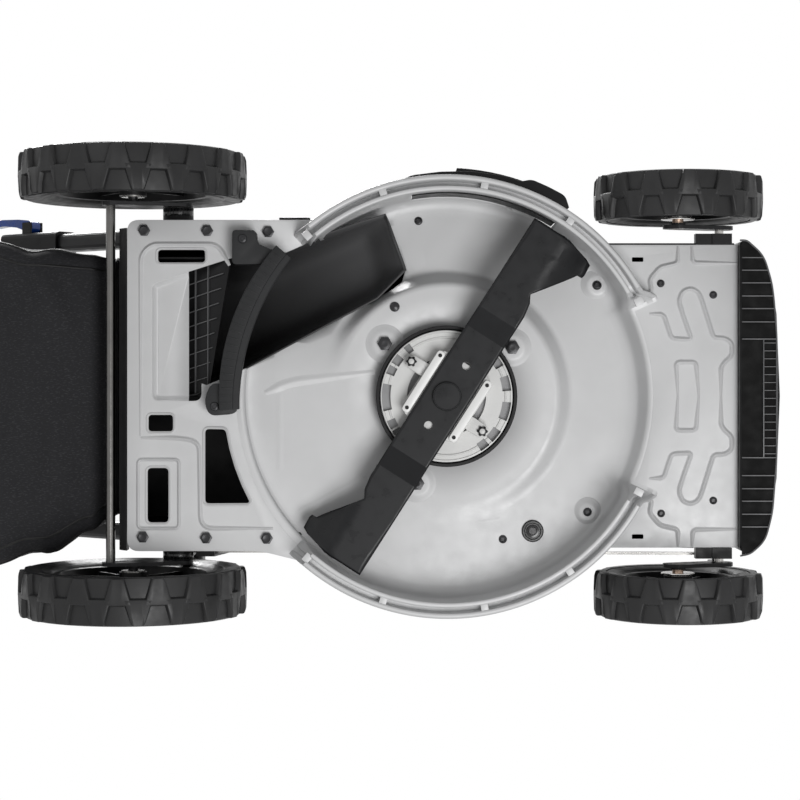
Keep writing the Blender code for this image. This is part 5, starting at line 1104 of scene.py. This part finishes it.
def draw_blade():
    stations = [0.006 * k for k in range(14)] + [lerp(*BLADE_STEP, t) for t in shares(6)]
    stations += [0.118 + 0.006 * k for k in range(5)] + [0.147, 0.152, 0.1568, 0.1605, 0.1655, 0.1705]
    stations += [0.178, 0.186, 0.194, 0.202, 0.2079, 0.2083, 0.2125, 0.22, 0.2267, 0.2305, 0.234, 0.2369]
    rows = []
    for u in [-u for u in reversed(stations[1:])] + stations:
        side = 1 if u >= 0 else -1
        across = [lerp(-BLADE_HALF, *read_off(FIN_EDGE, abs(u)), t) for t in shares(16)[::side]]
        rows.append([Vector((u, side * v, blade_level(u, v))) for v in across])
    bm = bmesh.new()
    rings(bm, rows, closed_rows=False, caps=False)
    turn = Matrix.Translation((0, 0, BLADE_Z)) @ about_axis(BLADE_ANGLE)
    bm.transform(turn)
    blade = show("blade_face", bm, "blade_steel", "blade_group", replaces=["blade"], sharp=14)
    thickened(blade, BLADE_THICK, 0)
    for u in BLADE_HOLES:
        hole = arc((0, 0), BLADE_HOLE_R, 0, 345, 23)
        carve(blade, through(hole, 0, turn @ Matrix.Translation((u, 0, 0))))


def draw_disc():
    low, high = DISC_Z, DISC_Z + DISC_THICK
    profile = [(DISC_BORE_R, low + 0.0012), (0.07, low + 0.0012), (0.0712, low - 0.0004),
               (0.0722, low - 0.0004), (0.073, low + 0.001), (DISC_R - 0.0028, low + 0.001),
               (DISC_R - 0.0022, low - 0.001), (DISC_R, low - 0.0008), (DISC_R, high), (DISC_BORE_R, high)]
    disc = show("hub_disc", lathe(bmesh.new(), profile, about_axis(0), 96), "white_plastic", "blade_group",
                replaces=["fan_disc"])
    holes = [sector(*WINDOW_R, angle - half, angle + half, 10) for angle, half in RIM_WINDOWS]
    holes += [arc((0, AXIS_Y), CRESCENT_R, middle - CRESCENT_HALF, middle + CRESCENT_HALF, 20)
              for middle in CRESCENTS]
    carve(disc, *(through(hole, (low + high) / 2) for hole in holes))
    back = ring_profile(DISC_BORE_R, DISC_R - 0.001, high + 0.001, high + 0.003)
    show("hub_back", lathe(bmesh.new(), back, about_axis(0), 64), "vent_grey", "blade_group")


def draw_carrier():
    """The block that holds the blade, with a stem at each nut and the two bars along its sides."""
    turn = about_axis(BLADE_ANGLE)
    x, y = CARRIER_HALF
    low = BLADE_Z + BLADE_THICK / 2 + 0.0005
    carrier = prism(bmesh.new(), oblong(-x, x, -y, y, 0.012), low, DISC_Z - 0.0004, 0.0012, turn)
    bars = bmesh.new()
    for side in (1, -1):
        bar = oblong(-BAR_HALF, BAR_HALF, side * BAR_Y[0], side * BAR_Y[1], 0.0048)
        prism(bars, bar, BAR_LOW_Z, DISC_Z - 0.002, 0.001, turn)
        stem = soft([(-side * x, side * y) for x, y in STEM_PLAN], 0.007)
        prism(carrier, stem, STEM_Z, DISC_Z, 0.001, turn)
    show("hub_carrier", carrier, "white_plastic", "blade_group", replaces=["blade_carrier"])
    show("hub_bars", bars, "bar_white", "blade_group")


def lobed(radius):
    """Plan of a nut with six soft lobes."""
    angles = [2 * pi * k / 48 for k in range(48)]
    reaches = [radius * (1 + 0.16 * cos(6 * angle)) for angle in angles]
    return [(reach * cos(angle), reach * sin(angle)) for reach, angle in zip(reaches, angles)]


def draw_nuts():
    turn = about_axis(BLADE_ANGLE)
    nuts = bmesh.new()
    caps = bmesh.new()
    for side in (1, -1):
        place = turn @ at(-side * NUT_PLACE[0], side * NUT_PLACE[1], STEM_Z, sign=-1)
        prism(nuts, lobed(NUT_R), -0.001, 0.0042, 0.0006, place)
        lathe(caps, [(0, 0.003), (0.0034, 0.003), (0.0034, 0.0046), (0.0026, 0.0052), (0, 0.0053)], place, 20)
        for end in (1, -1):
            spot = turn @ at(end * BAR_RIVET[0], side * BAR_RIVET[1], BAR_LOW_Z, sign=-1)
            lathe(nuts, ring_profile(0, 0.0024, -0.0004, 0.0004), spot, 20)
    show("hub_nuts", nuts, "black_plastic", "blade_group")
    show("hub_nut_caps", caps, "white_plastic", "blade_group")


def draw_cap_and_ring():
    low = BLADE_Z - BLADE_THICK / 2
    cap = [(0, low), (BOLT_R, low), (BOLT_R, low - 0.0046), (BOLT_R - 0.0006, low - 0.0054),
           (BOLT_R - 0.0013, low - 0.0054), (BOLT_R - 0.0019, low - 0.0048), (0, low - 0.005)]
    show("blade_cap", lathe(bmesh.new(), cap, about_axis(0), 64), "blade_steel", "blade_group",
         ["blade_bolt"])
    ring = [(0.0815, DISC_Z - 0.002), (0.0822, DISC_Z - 0.0026), (0.0852, DISC_Z - 0.0026),
            (0.0858, DISC_Z - 0.002), (0.0858, ROOF_Z), (0.0815, ROOF_Z)]
    show("hub_ring", lathe(bmesh.new(), ring, about_axis(0), 96), "black_plastic", replaces=["motor_ring"])


# Wheels

def crown(t, wheel):
    """How far the tread falls from the middle towards its shoulders."""
    share = abs(2 * t / wheel.w)
    return 0.001 * share ** 2 + 0.0026 * max(0.0, share - 0.86) / 0.14


def lug_outline(wheel):
    """One tread block in (along, across): wide at the centre line and narrow at the shoulder."""
    pitch = 2 * pi * wheel.r / wheel.lugs
    half = wheel.w / 2 - TREAD_EDGE
    narrow = LUG_SHOULDER * pitch / 2
    wide = LUG_MIDDLE * pitch / 2
    return [(-narrow, -half), (narrow, -half), (wide, LUG_JOIN), (-wide, LUG_JOIN)], pitch


def lug_mesh(wheel, mirrored):
    outline, pitch = lug_outline(wheel)
    if mirrored:
        outline = [(x + 0.5 * pitch, -y) for x, y in outline]
    bm = bmesh.new()
    height = LUG_HEIGHT + 0.001
    rows = []
    for margin, z in ((-LUG_SLOPE, 0), (-LUG_SLOPE * 0.2, height - 0.0012), (0.0002, height - 0.0003),
                      (0.0008, height)):
        limit = wheel.w / 2 - TREAD_EDGE + min(0.0, -margin)
        rows.append([(p.x, max(-limit, min(limit, p.y)), z) for p in inset(outline, margin)])
    rings(bm, rows)
    low, high = (end(x for x, _ in outline) for end in (min, max))
    for share in shares(8)[1:-1]:
        cut = (lerp(low, high, share), 0, 0)
        bmesh.ops.bisect_plane(bm, geom=everything(bm), plane_co=cut, plane_no=(1, 0, 0))
    for v in bm.verts:
        angle = v.co.x / wheel.r
        radius = wheel.r - height + v.co.z - crown(v.co.y, wheel)
        v.co = Vector((radius * sin(angle), v.co.y, radius * cos(angle)))
    mesh = bpy.data.meshes.new("lug")
    bm.to_mesh(mesh)
    bm.free()
    return mesh


def wheel_frame(wheel, side):
    return Matrix.Translation((wheel.x, side * wheel.y + wheel.mid, wheel.r))


def draw_tyre(name, wheel, side):
    radius, half = wheel.r, wheel.w / 2
    rim = radius * HUB_SHARE
    floor = radius - LUG_HEIGHT
    place = wheel_frame(wheel, side)
    profile = [(rim, -half * 0.74), (rim + 0.004, -half * 0.86), (rim + 0.01, -half * 0.9),
               (rim + 0.012, -half * 0.94), (rim + 0.0135, -half * 0.94), (rim + 0.0155, -half * 0.9),
               (floor - 0.01, -half * 0.97), (floor - 0.004, -half * 0.99), (floor - 0.0022, -half * 0.95),
               (floor - 0.0004, -half * 0.55), (floor, 0)]
    profile += [(r, -z) for r, z in reversed(profile[:-1])]
    bm = lathe(bmesh.new(), profile, place @ Matrix.Rotation(pi / 2, 4, "X"), 96)
    for mirrored in (False, True):
        mesh = lug_mesh(wheel, mirrored)
        for k in range(wheel.lugs):
            lug = mesh.copy()
            lug.transform(place @ Matrix.Rotation(2 * pi * k / wheel.lugs, 4, "Y"))
            bm.from_mesh(lug)
            bpy.data.meshes.remove(lug)
        bpy.data.meshes.remove(mesh)
    show(f"{name}_tread", bm, "tyre_rubber", name, replaces=[f"{name}_tyre"])


def draw_hub_face(name, wheel, side):
    """Five-spoked face with a cap on the outside, and a ribbed dish on the inside."""
    half = wheel.w / 2
    edge = wheel.r * HUB_SHARE - 0.0004
    place = wheel_frame(wheel, side) @ Matrix.Rotation(-side * pi / 2, 4, "X")
    profile = [
        (edge, -half * 0.76), (edge, half * 0.76), (edge - 0.003, half * 0.84), (edge - 0.006, half * 0.8),
        (edge - 0.0085, half * 0.52), (edge - 0.02, half * 0.4), (0.026, half * 0.46), (0.024, half * 0.72),
        (0.021, half * 0.78), (0, half * 0.8), (0, half * 0.3), (0.012, half * 0.28), (0.013, -half * 0.8),
        (0.017, -half * 0.8), (0.019, half * 0.24), (edge - 0.016, half * 0.22), (edge - 0.007, -half * 0.74)]
    bm = lathe(bmesh.new(), profile, place, 72)
    spoke = soft([(0.018, -0.01), (edge - 0.008, -0.0075), (edge - 0.008, 0.0075), (0.018, 0.01)], 0.004)
    turns = [place @ Matrix.Rotation(pi * k / SPOKES + SPOKE_TURN, 4, "Z") for k in range(2 * SPOKES)]
    for turn in turns[::2]:
        prism(bm, spoke, half * 0.36, half * 0.7, 0.0016, turn)
    for turn in turns:
        block(bm, (0.016, -0.001, -half * 0.58), (edge - 0.006, 0.001, half * 0.26), 0.0004, turn)
    show(f"{name}_dish", bm, "black_plastic", name, replaces=[f"{name}_hub"])
    washer = ring_profile(0.0065, 0.0145, -half * 0.8, -half * 0.86)
    show(f"{name}_washer", lathe(bmesh.new(), washer, place, 32), "bare_steel", name)


def draw_wheels():
    for name, wheel in (("rear_wheel", REAR_WHEEL), ("front_wheel", FRONT_WHEEL)):
        for side_name, side in (("left", 1), ("right", -1)):
            draw_tyre(f"{name}_{side_name}", wheel, side)
            draw_hub_face(f"{name}_{side_name}", wheel, side)


# Bumper and axle fittings

def draw_bumper():
    """The bumper's ribbed underside, just below its solid. The near-black sheet over it is painted shade in
    the pockets between the ribs.
    """
    face = prism(bmesh.new(), inset(BUMPER_EDGE, 0.0012), BUMPER_LOW_Z - 0.0008, BUMPER_LOW_Z - 0.0001)
    show("bumper_pocket_shade", face, "pocket_shade_black")
    bm = bmesh.new()
    low, high = (BUMPER_LOW_Z - depth for depth in BUMPER_RIB_DEPTHS)
    front = [(y, x) for x, y in BUMPER_EDGE[1:]]

    def rib(back, y, half, short, edge):
        block(bm, (back, y - half, low), (read_off(front, y)[0] - short, y + half, high), edge)

    for y in BUMPER_RIBS_Y:
        rib(BUMPER_BACK_X, y, 0.0007, 0.0015, 0.0003)
    start, end = BUMPER_WEB_SPAN
    block(bm, (BUMPER_WEB_X, start, low), (BUMPER_WEB_X + 0.0014, end, high), 0.0003)
    for k in range(BUMPER_FINS):
        rib(BUMPER_WEB_X + 0.0007, lerp(start, end, (k + 0.5) / BUMPER_FINS), 0.0005, 0.002, 0.0002)
    rim = [(x - 0.0008, y, BUMPER_LOW_Z - 0.0014) for x, y in BUMPER_EDGE]
    tube(bm, round_route(rim, 0.012), 0.0011)
    # The ribs are drawn lighter than the black bumper: painted highlight on the ribs
    show("bumper_ribs", bm, "rib_highlight_plastic")


def on_both_sides(place, middle, profile, steps):
    """A turned piece on each side of a middle. Its place is x, the distance from the middle, and z."""
    bm = bmesh.new()
    for side in (1, -1):
        lathe(bm, profile, at(place[0], middle + side * place[1], place[2], "Y", side), steps)
    return bm


def draw_axle_fittings():
    sleeve = ring_profile(0.0061, 0.0068, -0.0097, 0.0097)
    washer = [(0.0066, -0.0009), (0.02, -0.0009), (0.0204, 0), (0.02, 0.0009), (0.0066, 0.0009)]
    bush = [(0.007, -0.0052), (0.0185, -0.0052), (0.019, -0.0044), (0.019, 0.0044), (0.0185, 0.0052),
            (0.007, 0.0052)]
    for name, place, middle, profile, steps, look, body, slot in (
            ("front_axle_sleeves", SLEEVE, AXIS_Y, sleeve, 28, "copper_steel", "front_axle", "bare_steel"),
            ("front_axle_washers", WASHER, AXIS_Y, washer, 40, "bare_steel", "front_axle", "bare_steel"),
            ("rear_axle_bushes", BUSH, 0, bush, 48, "black_gloss", "rear_axle", "black_steel")):
        show(name, on_both_sides(place, middle, profile, steps), look, body)


# Grass bag

def bag_ring(x):
    """One hoop of the bag's cloth, which hangs full between its seams."""
    right, left, low, high = read_off(BAG_STATIONS, x, eased)
    slack = min(1.0, 6 * (x - BAG_STATIONS[0][0]) / -0.46)
    row = []
    for k in range(BAG_POINTS):
        angle = 2 * pi * k / BAG_POINTS
        c, s = cos(angle), sin(angle)
        side, rise = (1 if c > 0 else -1), (1 if s > 0 else -1)
        y = (left + right) / 2 + (left - right) / 2 * abs(c) ** BAG_POWER * side
        z = (high + low) / 2 + (high - low) / 2 * abs(s) ** BAG_POWER * rise
        ripple = 0.0022 * sin(37 * y + 4.0 * sin(19 * x)) + 0.0016 * sin(83 * x + 21 * y + 1.3)
        ripple += 0.0009 * sin(160 * x - 97 * y)
        z -= max(0.0, -s) ** 2 * slack * ripple * 1.6
        y += c ** 2 * slack * (0.002 * sin(61 * x + 30 * z) + 0.0012 * sin(127 * x - 70 * z)) * side
        row.append(Vector((x, y, z)))
    return row


def draw_bag():
    rows = [bag_ring(lerp(BAG_STATIONS[0][0], BAG_STATIONS[-1][0], share)) for share in shares(BAG_RINGS)]
    bm = bmesh.new()
    back = rings(bm, rows, caps=False)[-1]
    middle = sum((v.co for v in back), Vector()) / len(back)
    inner = back
    for share, push in BAG_BACK:
        ring = [bm.verts.new(middle.lerp(v.co, share) - Vector((push, 0, 0))) for v in back]
        for i in range(len(ring)):
            j = (i + 1) % len(ring)
            bm.faces.new((inner[i], inner[j], ring[j], ring[i]))
        inner = ring
    bm.faces.new(inner)
    thickened(show("bag_cloth", bm, "bag_fabric", "bag", replaces=["bag_fabric"], sharp=60), CLOTH, -1)
    seams = bmesh.new()
    for corner in BAG_SEAMS:
        tube(seams, [row[corner] for row in rows[1:-1]], 0.0016)
    tube(seams, [p + Vector((-0.004, 0, 0)) for p in rows[0]], 0.0022, closed=True)
    show("bag_seams", seams, "rubber_black", "bag")


# Stage

def draw_stage():
    """A floor that is clear from below. It takes the part's shadow and sends no light back to it."""
    bpy.ops.mesh.primitive_plane_add(size=FLOOR_SIZE, location=(0, 0, FLOOR_Z))
    floor = bpy.context.object
    floor.name = "floor"
    look = finish("floor", (0.9, 0.9, 0.9), 0.9)
    nodes = look.node_tree.nodes
    mix = nodes.new("ShaderNodeMixShader")
    link(look, node(look, "NewGeometry").outputs["Backfacing"], mix.inputs["Fac"])
    link(look, nodes["Principled BSDF"].outputs["BSDF"], mix.inputs[1])
    link(look, node(look, "BsdfTransparent").outputs["BSDF"], mix.inputs[2])
    link(look, mix.outputs["Shader"], nodes["Material Output"].inputs["Surface"])
    floor.data.materials.append(look)
    floor.visible_shadow = False
    floor.visible_diffuse = False
    floor.visible_glossy = False


def area_light(name, place, power, target):
    data = bpy.data.lights.new(name, "AREA")
    data.energy = power
    data.size = LIGHT_SIZE
    lamp = add_object(name, data)
    lamp.location = TO_FRAME @ Vector(place)
    lamp.rotation_euler = (TO_FRAME @ Vector(target) - lamp.location).to_track_quat("-Z", "Y").to_euler()


def draw_world():
    """White to the camera and in reflections, and a low light on everything else."""
    world = bpy.data.worlds.new("world")
    scene.world = world
    world.use_nodes = True
    background = world.node_tree.nodes["Background"]
    background.inputs["Color"].default_value = (1, 1, 1, 1)
    rays = node(world, "LightPath").outputs
    seen = larger(world, rays["Is Camera Ray"], rays["Is Glossy Ray"])
    seen = larger(world, seen, rays["Is Transmission Ray"])
    link(world, ranged(world, seen, WORLD_LIGHT, 1.0, 0.0, 1.0), background.inputs["Strength"])


def place_camera():
    data = bpy.data.cameras.new("camera")
    data.lens = CAMERA_LENS
    data.sensor_width = 36.0
    data.shift_y = CAMERA_SHIFT_Y
    camera = add_object("camera", data)
    camera.location = TO_FRAME @ Vector(CAMERA_PLACE)
    camera.rotation_euler = (pi, 0, 0)
    scene.camera = camera


scene.view_settings.view_transform = "Standard"
for draw in (paint_cad_nodes, draw_deck, draw_side_port, draw_rear_plate, draw_pocket, draw_apron,
             draw_deck_fastenings, draw_grommet, draw_flange_tabs, draw_guard, draw_chute_liner,
             draw_chute_ramp, draw_blade, draw_disc, draw_carrier, draw_nuts, draw_cap_and_ring, draw_wheels,
             draw_bumper, draw_axle_fittings, draw_bag, draw_stage, draw_world):
    draw()
area_light("key", KEY_PLACE, KEY_POWER, (0, 0, 0.1))
area_light("fill", FILL_PLACE, FILL_POWER, (0, 0, 0.1))
area_light("top", TOP_PLACE, TOP_POWER, (0, 0, 0.3))
place_camera()
